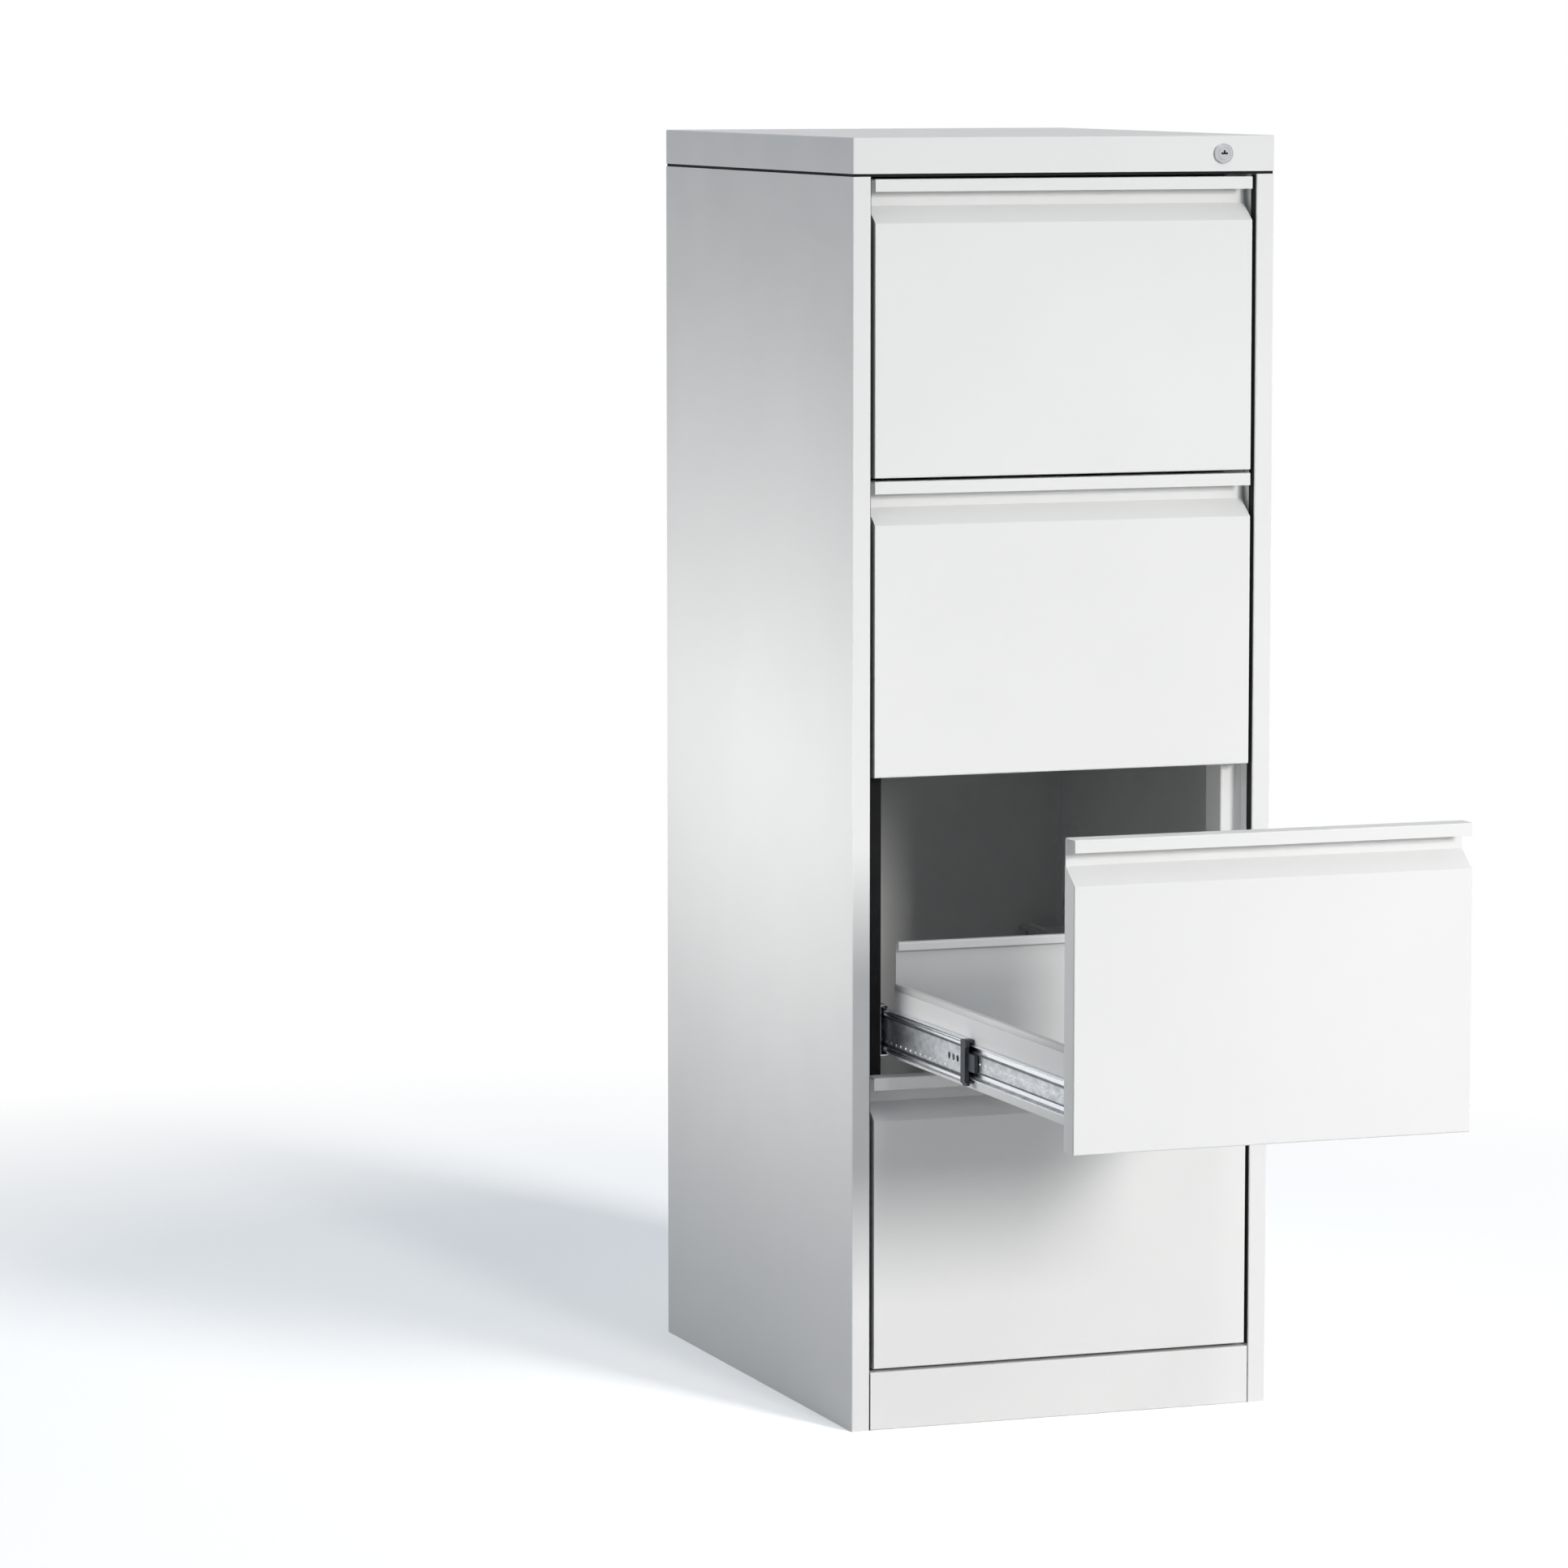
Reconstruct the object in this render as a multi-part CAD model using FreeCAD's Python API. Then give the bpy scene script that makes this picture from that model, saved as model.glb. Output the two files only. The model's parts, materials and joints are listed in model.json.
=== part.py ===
import FreeCAD, Part
import math
import os

os.makedirs("parts", exist_ok=True)

# Card index cabinet with four drawers on ball slides, in millimetres.
# The origin is on the floor, under the middle of the cabinet. The front faces -Y, and +Z is up.
# The third drawer is modelled pulled out, and the others are closed.

# Cabinet outside
cabinet_width = 475.0
cabinet_depth = 590.0
cabinet_height = 1357.0
sheet = 1.0
bend_radius = 0.6

# Posts, flanges and plinth of the body
post_width = 20.0
jamb_depth = 30.0
rear_flange = 14.0
top_flange = 37.5
back_fold = 15.0
plinth_height = 62.0
plinth_seam = 1.2

# Top cover and the frame below it
cover_skirt = 37.5
cover_gap = 3.0
cover_return = 12.0
cover_edge_radius = 1.8
cover_play = 2.0
frame_sheet = 1.5
frame_flange = 25.0
top_frame_setback = 45.0

# Uprights and brackets that carry the slides
upright_reach = 43.5
upright_width = 40.0
upright_sheet = 1.5
bracket_width = 40.0
bracket_height = 60.0
bracket_setback = 20.0

# Drawer fronts
drawer_count = 4
open_drawer_number = 3
side_gap = 5.0
drawer_gap = 3.5
top_margin = 2.5
lip_height = 13.0
recess_depth = 24.0
recess_bottom = 28.0
bevel_bottom = 46.0
skin_return = 2.5
skin_seam = 0.8

# Trays
slide_thickness = 14.0
tray_lift = 12.0
tray_height = 80.0
hem_width = 7.0
hem_drop = 6.0
tray_bend_radius = 1.4
front_flange = 16.0
tray_back_gap = 18.0
back_wall_rise = 45.0
back_wall_foot = 13.0
back_hem_width = 9.0
back_hem_drop = 9.0

# Ball slides, measured across from the upright and up from the slide's middle
slide_lift = 42.0
drawer_travel = 545.0
rail_sheet = 1.2
rail_bend_radius = 0.8
middle_half_height = 22.5
ball_radius = 1.5
race_clearance = 0.15
cabinet_lip_reach = 10.0
cabinet_lip_height = 4.0
middle_rail_offset = 3.2
middle_web_step = 2.3
middle_ridge_height = 5.5
middle_rail_reach = 13.5
middle_lip_height = 3.7
drawer_rail_depth = 5.4
drawer_web_step = 1.4
drawer_ridge_height = 8.0
cabinet_rail_setback = 3.0
slide_rear_gap = 12.0
cage_sheet = 0.6
cage_length = 180.0
inner_cage_offset = 2.0
inner_cage_reach = 8.0
outer_cage_offset = 7.5
outer_cage_reach = 11.8
balls_per_row = 6
ball_hole_clearance = 0.25
rail_hole_radius = 3.5

# Plastic ends of the rails
rail_end_length = 22.0
rail_end_play = 0.2
rail_end_half_height = 21.5
rail_end_foot = 3.5
rail_end_foot_length = 5.0
rail_end_offset = 3.2
middle_end_length = 12.0
middle_end_wall = 4.4
lever_length = 18.0
lever_half_height = 9.0
lever_play = 4.0

# Rail screws
screw_radius = 2.4
screw_hole_clearance = 0.1
screw_head_radius = 4.0
screw_head_height = 1.5
screw_tail = 2.0
cross_width = 1.0
cross_length = 4.6
cross_depth = 0.8

# Lock in the cover's skirt
lock_inset = 59.0
lock_rim_radius = 10.5
lock_rim_depth = 3.5
lock_rim_edge = 0.9
lock_body_radius = 9.0
lock_body_length = 25.0
lock_hole_clearance = 0.2
plug_radius = 6.4
plug_clearance = 0.2
plug_proud = 0.4
keyway_width = 2.0
keyway_height = 7.6
keyway_ward = 3.4
keyway_depth = 9.0
tail_half_width = 3.4
tail_clearance = 0.1
nut_across_flats = 24.0
nut_thickness = 4.0
nut_clearance = 0.1

# Cam and lock bar
cam_play = 2.0
cam_thickness = 2.0
cam_hub_radius = 7.5
cam_throw = 9.0
cam_start_angle = 45.0
cam_arm_half_width = 4.5
pin_radius = 2.5
pin_length = 6.5
cam_screw_radius = 1.6
cam_screw_head_radius = 3.2
cam_screw_head_height = 1.6
cam_screw_length = 6.0
bar_thickness = 2.0
bar_gap = 0.5
bar_width = 12.0
bar_inset = 6.0
arm_half_height = 8.0
arm_edge = 3.5
slot_clearance = 0.5
hook_height = 8.0
hook_tip_gap = 4.0
hook_slot_clearance = 1.0
hook_catch_gap = 1.5
hook_rest_gap = 2.0
catch_lift = 80.0
catch_height = 10.0
catch_tip_gap = 2.0
guide_wall = 2.8
guide_depth = 5.5
guide_height = 14.0
guide_clearance = 0.3

# Lines of the body worked out from the sizes above
half_width = cabinet_width / 2
front_y = -cabinet_depth / 2
rear_y = cabinet_depth / 2
body_top = cabinet_height - cover_skirt - cover_gap
inner_half_width = half_width - sheet
post_inner_x = half_width - post_width
jamb_y = front_y + jamb_depth
back_panel_y = rear_y - sheet
upright_x = half_width - upright_reach
upright_rear_y = jamb_y + upright_width

# Lines of the drawers
front_half_width = post_inner_x - side_gap
fronts_height = body_top - top_margin - plinth_height
drawer_pitch = fronts_height / drawer_count
front_height = drawer_pitch - drawer_gap
backing_y = front_y + recess_depth + 2 * sheet
tray_half_width = upright_x - slide_thickness
tray_rear_y = back_panel_y - tray_back_gap
tray_top = tray_lift + tray_height
back_wall_top = tray_top + back_wall_rise

# Lines of the slides
ball_space = 2 * (ball_radius + race_clearance)
cabinet_half_height = middle_half_height + ball_space + rail_sheet
drawer_half_height = middle_half_height - rail_sheet - ball_space
inner_ball_height = middle_half_height + ball_space / 2
outer_ball_height = drawer_half_height + ball_space / 2
cabinet_rail_front = jamb_y + cabinet_rail_setback
slide_rear = back_panel_y - slide_rear_gap
rail_end_front = backing_y + rail_end_play
drawer_rail_front = rail_end_front + rail_end_length
lever_front = drawer_rail_front + lever_play
middle_end_front = lever_front + lever_length
middle_rail_front = middle_end_front + middle_end_length
drawer_rail_rear = tray_rear_y
inner_cage_middle = (cabinet_rail_front + slide_rear) / 2
outer_cage_middle = (middle_rail_front + drawer_rail_rear) / 2
screw_front_y = upright_rear_y - upright_width / 3
bracket_rear_y = back_panel_y - bracket_setback
bracket_front_y = bracket_rear_y - bracket_width
screw_rear_y = (bracket_front_y + bracket_rear_y) / 2

# Lines of the lock
lock_x = half_width - lock_inset
lock_z = cabinet_height - cover_skirt / 2
lock_body_rear = front_y + lock_body_length
cam_front = lock_body_rear + cam_play
cam_rear = cam_front + cam_thickness
bar_front = jamb_y + upright_sheet + bar_gap
bar_rear = bar_front + bar_thickness
bar_left = upright_x + bar_inset
bar_right = bar_left + bar_width
bar_lift = 2 * cam_throw * math.sin(math.radians(cam_start_angle))
pin_rest_z = lock_z - bar_lift / 2


def point(x, y, z):
    """Point or direction in the cabinet's frame."""
    return FreeCAD.Vector(x, y, z)


def block(x, y, z):
    """Box between a low and a high value on each axis."""
    size = [max(pair) - min(pair) for pair in (x, y, z)]
    return Part.makeBox(*size, point(min(x), min(y), min(z)))


def rod(start, direction, radius, length):
    """Round bar from a start point along a direction."""
    return Part.makeCylinder(radius, length, start, direction)


def mirrored(shape):
    """The same shape on the other side of the cabinet."""
    return shape.mirror(point(0, 0, 0), point(1, 0, 0))


def both_sides(shapes):
    """Shapes and their mirror images."""
    return shapes + [mirrored(shape) for shape in shapes]


def moved(shape, y):
    """A shape shifted along the cabinet's depth."""
    copy = shape.copy()
    copy.translate(point(0, y, 0))
    return copy


def save(name, shapes):
    """Write one node, given as a list of separate solids."""
    whole = shapes[0] if len(shapes) == 1 else Part.makeCompound(shapes)
    whole.exportStep(f"parts/{name}.step")


def unit(start, end):
    """Unit direction from one flat point to another."""
    length = math.hypot(end[0] - start[0], end[1] - start[1])
    return ((end[0] - start[0]) / length, (end[1] - start[1]) / length)


def bent_edges(points, inner_turn, inner_radius, thickness, place):
    """Edges along a flat line, with an arc at each bend."""
    edges = []
    at = points[0]
    for before, corner, after in zip(points, points[1:], points[2:]):
        come = unit(before, corner)
        leave = unit(corner, after)
        turn = come[0] * leave[1] - come[1] * leave[0]
        radius = inner_radius if turn * inner_turn > 0 else inner_radius + thickness
        angle = math.acos(come[0] * leave[0] + come[1] * leave[1])
        back = radius * math.tan(angle / 2)
        start = (corner[0] - come[0] * back, corner[1] - come[1] * back)
        end = (corner[0] + leave[0] * back, corner[1] + leave[1] * back)
        inward = unit((0, 0), (leave[0] - come[0], leave[1] - come[1]))
        reach = radius / math.cos(angle / 2) - radius
        middle = (corner[0] + inward[0] * reach, corner[1] + inward[1] * reach)
        edges.append(Part.makeLine(place(at), place(start)))
        edges.append(Part.Arc(place(start), place(middle), place(end)).toShape())
        at = end
    edges.append(Part.makeLine(place(at), place(points[-1])))
    return edges


def bent_sheet(points, plane, span, thickness=sheet, inner_radius=bend_radius):
    """Folded sheet: the sheet lies left of the flat line, and runs over the span on the third axis."""
    low, high = span
    place = {
        "xy": lambda flat: point(flat[0], flat[1], low),
        "xz": lambda flat: point(flat[0], low, flat[1]),
        "yz": lambda flat: point(low, flat[0], flat[1]),
    }[plane]
    run = {
        "xy": point(0, 0, high - low),
        "xz": point(0, high - low, 0),
        "yz": point(high - low, 0, 0),
    }[plane]
    ways = [unit(start, end) for start, end in zip(points, points[1:])]
    lefts = [(-way[1], way[0]) for way in ways]
    other = [(points[0][0] + lefts[0][0] * thickness, points[0][1] + lefts[0][1] * thickness)]
    for corner, first, second in zip(points[1:], lefts, lefts[1:]):
        share = thickness / (1 + first[0] * second[0] + first[1] * second[1])
        shift = ((first[0] + second[0]) * share, (first[1] + second[1]) * share)
        other.append((corner[0] + shift[0], corner[1] + shift[1]))
    other.append((points[-1][0] + lefts[-1][0] * thickness, points[-1][1] + lefts[-1][1] * thickness))
    outline = bent_edges(points, -1, inner_radius, thickness, place)
    outline.append(Part.makeLine(place(points[-1]), place(other[-1])))
    outline += bent_edges(other[::-1], -1, inner_radius, thickness, place)
    outline.append(Part.makeLine(place(other[0]), place(points[0])))
    return Part.Face(Part.Wire(outline)).extrude(run)


def channel_ring(half, y, z, flange):
    """Ring of folded channel, open in the middle, with its flanges at the top and the bottom."""
    wall = frame_sheet
    solid = block((-half, half), y, z)
    room = block((wall - half, half - wall), (y[0] + wall, y[1] - wall), (z[0] + wall, z[1] - wall))
    window = block((flange - half, half - flange), (y[0] + flange, y[1] - flange), z)
    return solid.cut(room).cut(window)


def drawer_bottom(number):
    """Height of the lower edge of a drawer's front, counted from the top drawer."""
    return plinth_height + drawer_gap + (drawer_count - number) * drawer_pitch


def side_panel():
    """Right side panel, folded round the post and the rear flange."""
    line = [
        (post_inner_x, jamb_y),
        (post_inner_x, front_y),
        (half_width, front_y),
        (half_width, rear_y),
        (half_width - rear_flange, rear_y),
    ]
    wall = bent_sheet(line, "xy", (0, body_top))
    flange_x = (inner_half_width - top_flange, inner_half_width)
    flange_y = (front_y + top_frame_setback, back_panel_y - back_fold - sheet)
    flange = block(flange_x, flange_y, (body_top - sheet, body_top))
    return wall.fuse(flange).removeSplitter()


def back_panel():
    """Back panel with a fold along each side."""
    line = [
        (inner_half_width, back_panel_y - back_fold),
        (inner_half_width, back_panel_y),
        (-inner_half_width, back_panel_y),
        (-inner_half_width, back_panel_y - back_fold),
    ]
    return bent_sheet(line, "xy", (plinth_height, body_top - sheet))


def base_frame():
    """Ring that the cabinet stands on, between the plinth panel and the back."""
    depth = (jamb_y, back_panel_y - sheet)
    return channel_ring(inner_half_width, depth, (0, plinth_height - sheet), frame_flange)


def bottom_panel():
    """Flat sheet on the base frame."""
    width = (-inner_half_width, inner_half_width)
    return block(width, (jamb_y, back_panel_y - sheet), (plinth_height - sheet, plinth_height))


def plinth_panel():
    """Visible panel between the posts, folded back at its top and bottom."""
    line = [(jamb_y, plinth_height), (front_y, plinth_height), (front_y, 0), (jamb_y, 0)]
    reach = post_inner_x - plinth_seam
    return bent_sheet(line, "yz", (-reach, reach))


def top_cover():
    """Shell with a skirt all round, turned in at its lower edge, with the hole for the lock."""
    z = (cabinet_height - cover_skirt, cabinet_height)
    shell = block((-half_width, half_width), (front_y, rear_y), z)
    outer = [edge for edge in shell.Edges if edge.BoundBox.ZMax > z[0] + sheet]
    shell = shell.makeFillet(cover_edge_radius, outer)
    inner_x = (-inner_half_width, inner_half_width)
    room = block(inner_x, (front_y + sheet, back_panel_y), (z[0] + sheet, z[1] - sheet))
    mouth_x = inner_half_width - cover_return
    mouth_y = (front_y + sheet + cover_return, back_panel_y - cover_return)
    mouth = block((-mouth_x, mouth_x), mouth_y, (z[0] - sheet, z[0] + 2 * sheet))
    hole_start = point(lock_x, front_y - sheet, lock_z)
    hole = rod(hole_start, point(0, 1, 0), lock_body_radius + lock_hole_clearance, 3 * sheet)
    return shell.cut(room).cut(mouth).cut(hole)


def top_frame():
    """Recessed ring between the body and the cover."""
    half = inner_half_width - cover_return - cover_play
    y = (front_y + top_frame_setback, back_panel_y - cover_return - cover_play)
    return channel_ring(half, y, (body_top, cabinet_height - sheet), frame_flange)


def upright_channel(y, z):
    """Right-hand channel between the side panel and the plane of the slides."""
    line = [
        (inner_half_width, y[1]),
        (upright_x, y[1]),
        (upright_x, y[0]),
        (inner_half_width, y[0]),
    ]
    return bent_sheet(line, "xy", z, upright_sheet)


def slide_middle(number):
    """Height of the middle of a drawer's slides."""
    return drawer_bottom(number) + slide_lift


def screw_points():
    """Places of the rail screws on the right-hand side."""
    heights = [slide_middle(number) for number in range(1, drawer_count + 1)]
    return [point(upright_x, y, z) for z in heights for y in (screw_front_y, screw_rear_y)]


def screw_holes(start_shift, length):
    """Clearance holes for the rail screws, along the cabinet's width."""
    radius = screw_radius + screw_hole_clearance
    starts = [place - point(start_shift, 0, 0) for place in screw_points()]
    return Part.makeCompound([rod(start, point(1, 0, 0), radius, length) for start in starts])


def uprights():
    """Two uprights; the right-hand one has a slot for each hook of the lock bar."""
    plain = upright_channel((jamb_y, upright_rear_y), (plinth_height, body_top - sheet))
    plain = plain.cut(screw_holes(upright_sheet, 3 * upright_sheet))
    slotted = plain
    for number in range(1, drawer_count + 1):
        low = hook_bottom(number) - hook_slot_clearance
        high = low + hook_height + bar_lift + 2 * hook_slot_clearance
        slot_x = (upright_x - upright_sheet, upright_x + 2 * upright_sheet)
        slot_y = (jamb_y + upright_sheet, bar_rear + hook_slot_clearance)
        slotted = slotted.cut(block(slot_x, slot_y, (low, high)))
    return [slotted, mirrored(plain)]


def rail_brackets():
    """Channels that carry the rear ends of the slides."""
    brackets = []
    for number in range(1, drawer_count + 1):
        middle = slide_middle(number)
        z = (middle - bracket_height / 2, middle + bracket_height / 2)
        bracket = upright_channel((bracket_front_y, bracket_rear_y), z)
        brackets.append(bracket.cut(screw_holes(upright_sheet, 3 * upright_sheet)))
    return both_sides(brackets)


def slide_line(pairs, number):
    """Flat line of a right-hand rail, from pairs of reach from the upright and height from the middle."""
    middle = slide_middle(number)
    return [(upright_x - reach, middle + height) for reach, height in pairs]


def rail_holes(number, places):
    """Round holes through a rail's web, one for each place along it."""
    middle = slide_middle(number)
    start_x = upright_x - slide_thickness - rail_sheet
    length = slide_thickness + 2 * rail_sheet
    rods = [rod(point(start_x, y, middle), point(1, 0, 0), rail_hole_radius, length) for y in places]
    return Part.makeCompound(rods)


def cabinet_rail(number):
    """Outer member of a slide, screwed to the upright and the bracket."""
    lip = cabinet_half_height - cabinet_lip_height
    pairs = [
        (cabinet_lip_reach, -lip),
        (cabinet_lip_reach, -cabinet_half_height),
        (0, -cabinet_half_height),
        (0, cabinet_half_height),
        (cabinet_lip_reach, cabinet_half_height),
        (cabinet_lip_reach, lip),
    ]
    span = (cabinet_rail_front, slide_rear)
    rail = bent_sheet(slide_line(pairs, number), "xz", span, rail_sheet, rail_bend_radius)
    return rail.cut(screw_holes(2 * rail_sheet, 3 * rail_sheet))


def middle_rail(number):
    """Middle member of a slide, with raised ridges along its edges."""
    ridge = middle_half_height - middle_ridge_height
    step = ridge - middle_web_step
    web = middle_rail_offset + middle_web_step
    lip = middle_half_height - middle_lip_height
    upper = [
        (web, step),
        (middle_rail_offset, ridge),
        (middle_rail_offset, middle_half_height),
        (middle_rail_reach, middle_half_height),
        (middle_rail_reach, lip),
    ]
    lower = [(reach, -height) for reach, height in reversed(upper)]
    span = (middle_rail_front, slide_rear)
    rail = bent_sheet(slide_line(lower + upper, number), "xz", span, rail_sheet, rail_bend_radius)
    first = middle_rail_front + 4 * rail_hole_radius
    places = [first + step * 3.4 * rail_hole_radius for step in range(3)]
    places.append(slide_rear - 4 * rail_hole_radius)
    return rail.cut(rail_holes(number, places))


def drawer_rail(number):
    """Inner member of a slide, fixed to the tray's side."""
    ridge = drawer_half_height - drawer_ridge_height
    step = ridge - drawer_web_step
    web = slide_thickness - drawer_web_step
    open_side = slide_thickness - drawer_rail_depth
    lower = [
        (open_side, -drawer_half_height),
        (slide_thickness, -drawer_half_height),
        (slide_thickness, -ridge),
        (web, -step),
    ]
    upper = [(reach, -height) for reach, height in reversed(lower)]
    line = slide_line(lower + upper, number)
    span = (drawer_rail_front, drawer_rail_rear)
    rail = bent_sheet(line[::-1], "xz", span, rail_sheet, rail_bend_radius)
    places = [drawer_rail_front + 4 * rail_hole_radius, drawer_rail_front + 11 * rail_hole_radius]
    places.append(drawer_rail_rear - 4 * rail_hole_radius)
    return rail.cut(rail_holes(number, places))


def ball_cage(number, web, reach, ball_height, ball_reach, middle_y):
    """Cage of thin sheet, open towards the drawer, with a row of balls above and one below."""
    half = ball_height + cage_sheet / 2
    pairs = [(reach, -half), (web, -half), (web, half), (reach, half)]
    low = middle_y - cage_length / 2
    line = slide_line(pairs, number)
    cage = bent_sheet(line, "xz", (low, low + cage_length), cage_sheet, cage_sheet / 2)
    pitch = cage_length / balls_per_row
    ball_y = [low + (place + 0.5) * pitch for place in range(balls_per_row)]
    ball_x = upright_x - ball_reach
    slide_z = slide_middle(number)
    hole_radius = ball_radius + ball_hole_clearance
    start_z = slide_z - half - cage_sheet
    hole_length = 2 * (half + cage_sheet)
    holes = [rod(point(ball_x, y, start_z), point(0, 0, 1), hole_radius, hole_length) for y in ball_y]
    cage = cage.cut(Part.makeCompound(holes))
    spots = [point(ball_x, y, slide_z + side * ball_height) for y in ball_y for side in (-1, 1)]
    return [cage] + [Part.makeSphere(ball_radius, spot) for spot in spots]


def inner_cage(number):
    """Balls between the cabinet rail and the middle rail."""
    ball_reach = (inner_cage_offset + inner_cage_reach) / 2
    sizes = (inner_cage_offset, inner_cage_reach, inner_ball_height, ball_reach)
    return ball_cage(number, *sizes, inner_cage_middle)


def outer_cage(number):
    """Balls between the middle rail and the drawer rail."""
    ball_reach = slide_thickness - drawer_rail_depth + ball_radius
    sizes = (outer_cage_offset, outer_cage_reach, outer_ball_height, ball_reach)
    return ball_cage(number, *sizes, outer_cage_middle)


def slide_block(number, reach, y, height):
    """Box on a right-hand slide, by reach from the upright, depth and height from the middle."""
    middle = slide_middle(number)
    x = (upright_x - reach[1], upright_x - reach[0])
    return block(x, y, (middle + height[0], middle + height[1]))


def rail_end(number):
    """Plastic block at the front of a drawer rail, with a small foot."""
    reach = (rail_end_offset, slide_thickness - rail_sheet)
    y = (rail_end_front, drawer_rail_front)
    body = slide_block(number, reach, y, (-rail_end_half_height, rail_end_half_height))
    chamfered = [edge for edge in body.Edges if edge.BoundBox.YLength < rail_sheet]
    chamfered = [edge for edge in chamfered if edge.BoundBox.YMin > y[1] - rail_sheet]
    body = body.makeChamfer(rail_sheet, chamfered)
    foot_y = (rail_end_front, rail_end_front + rail_end_foot_length)
    foot_height = (-rail_end_half_height - rail_end_foot, -rail_end_half_height)
    foot = slide_block(number, reach, foot_y, foot_height)
    plate_reach = (reach[1] - rail_sheet, slide_thickness)
    plate = slide_block(number, plate_reach, y, (-drawer_half_height, drawer_half_height))
    return body.fuse([foot, plate]).removeSplitter()


def middle_end(number):
    """Plastic end of a middle rail, open where the drawer rail passes, with the release lever."""
    y = (middle_end_front, middle_rail_front)
    plate_reach = (middle_rail_offset - rail_end_play, middle_rail_offset + middle_end_wall)
    full = (-middle_half_height, middle_half_height)
    plate = slide_block(number, plate_reach, y, full)
    lip_reach = (plate_reach[0], middle_rail_reach)
    lip_low = outer_ball_height
    upper = slide_block(number, lip_reach, y, (lip_low, middle_half_height))
    lower = slide_block(number, lip_reach, y, (-middle_half_height, -lip_low))
    lever_reach = (plate_reach[1] - rail_sheet, slide_thickness - drawer_web_step - 2 * rail_sheet)
    lever_span = (-lever_half_height, lever_half_height)
    lever = slide_block(number, lever_reach, (lever_front, y[1] - rail_sheet), lever_span)
    return plate.fuse([upper, lower, lever]).removeSplitter()


def rail_screw(place):
    """Pan-head screw that holds a cabinet rail, with a cross in its head."""
    under_head = place - point(rail_sheet, 0, 0)
    shank = rod(under_head, point(1, 0, 0), screw_radius, rail_sheet + upright_sheet + screw_tail)
    head = rod(under_head, point(-1, 0, 0), screw_head_radius, screw_head_height)
    rim = [edge for edge in head.Edges if edge.BoundBox.XMax < under_head.x - screw_head_height / 2]
    head = head.makeChamfer(screw_head_height / 3, rim)
    face_x = under_head.x - screw_head_height
    x = (face_x, face_x + cross_depth)
    wide = (place.y - cross_length / 2, place.y + cross_length / 2)
    thin = (place.y - cross_width / 2, place.y + cross_width / 2)
    high = (place.z - cross_length / 2, place.z + cross_length / 2)
    low = (place.z - cross_width / 2, place.z + cross_width / 2)
    cross = block(x, wide, low).fuse(block(x, thin, high))
    return shank.fuse(head).cut(cross).removeSplitter()


def drawer_front(number):
    """Outer skin of a front: lip, top, recess, bevel, face and lower return."""
    bottom = drawer_bottom(number)
    top = bottom + front_height
    recess_y = front_y + recess_depth
    line = [
        (front_y + sheet, top - lip_height),
        (front_y + sheet, top - sheet),
        (recess_y, top - sheet),
        (recess_y, top - recess_bottom),
        (front_y, top - bevel_bottom),
        (front_y, bottom),
        (backing_y - sheet, bottom),
    ]
    skin = bent_sheet(line, "yz", (-front_half_width, front_half_width))
    edge_x = (front_half_width - sheet, front_half_width)
    edge_y = (front_y + bend_radius, front_y + skin_return)
    edge_z = (bottom + bend_radius, top - bevel_bottom)
    edge = block(edge_x, edge_y, edge_z)
    return skin.fuse(both_sides([edge])).removeSplitter()


def front_backing(number):
    """Pan behind the skin: a flat back and two sides that follow the bevel."""
    bottom = drawer_bottom(number)
    top = bottom + front_height
    width = (-front_half_width, front_half_width)
    back_z = (bottom, top - recess_bottom)
    back = block(width, (backing_y - sheet, backing_y), back_z)
    slope_drop = sheet * math.hypot(recess_depth, bevel_bottom - recess_bottom) / recess_depth
    slope = (bevel_bottom - recess_bottom) / recess_depth
    seam_y = front_y + skin_return + skin_seam
    seam_top = top - bevel_bottom + slope * (seam_y - front_y) - slope_drop
    rear_top = top - bevel_bottom + slope * (backing_y - sheet - front_y) - slope_drop
    corners = [
        (seam_y, bottom + sheet),
        (backing_y - sheet, bottom + sheet),
        (backing_y - sheet, rear_top),
        (seam_y, seam_top),
    ]
    outline = [point(front_half_width - sheet, y, z) for y, z in corners]
    wall = Part.Face(Part.makePolygon(outline + outline[:1])).extrude(point(sheet, 0, 0))
    return back.fuse(both_sides([wall])).removeSplitter()


def catch(number):
    """Tab welded to the right side of a tray, which the lock bar's hook holds back."""
    low = drawer_bottom(number) + catch_lift
    y = bar_rear + hook_catch_gap
    x = (tray_half_width, upright_x - catch_tip_gap)
    return block(x, (y, y + sheet), (low, low + catch_height))


def tray(number):
    """Bottom and sides of a drawer, with rolled edges and a welding flange."""
    low = drawer_bottom(number) + tray_lift
    high = low + tray_height
    hem_x = tray_half_width - hem_width
    right = [(tray_half_width, low), (tray_half_width, high), (hem_x, high), (hem_x, high - hem_drop)]
    left = [(-x, z) for x, z in reversed(right)]
    span = (backing_y, tray_rear_y)
    body = bent_sheet(left + right, "xz", span, sheet, tray_bend_radius)
    inner = tray_half_width - sheet
    flange_y = (backing_y, backing_y + sheet)
    flange = block((-inner, inner), flange_y, (low + sheet, high - hem_drop))
    flange_window = block(
        (front_flange - inner, inner - front_flange),
        flange_y,
        (low + front_flange, high),
    )
    tail = block((-inner, inner), (tray_rear_y - back_wall_foot, tray_rear_y), (low + sheet, high))
    return body.fuse(flange.cut(flange_window)).cut(tail).removeSplitter()


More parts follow.
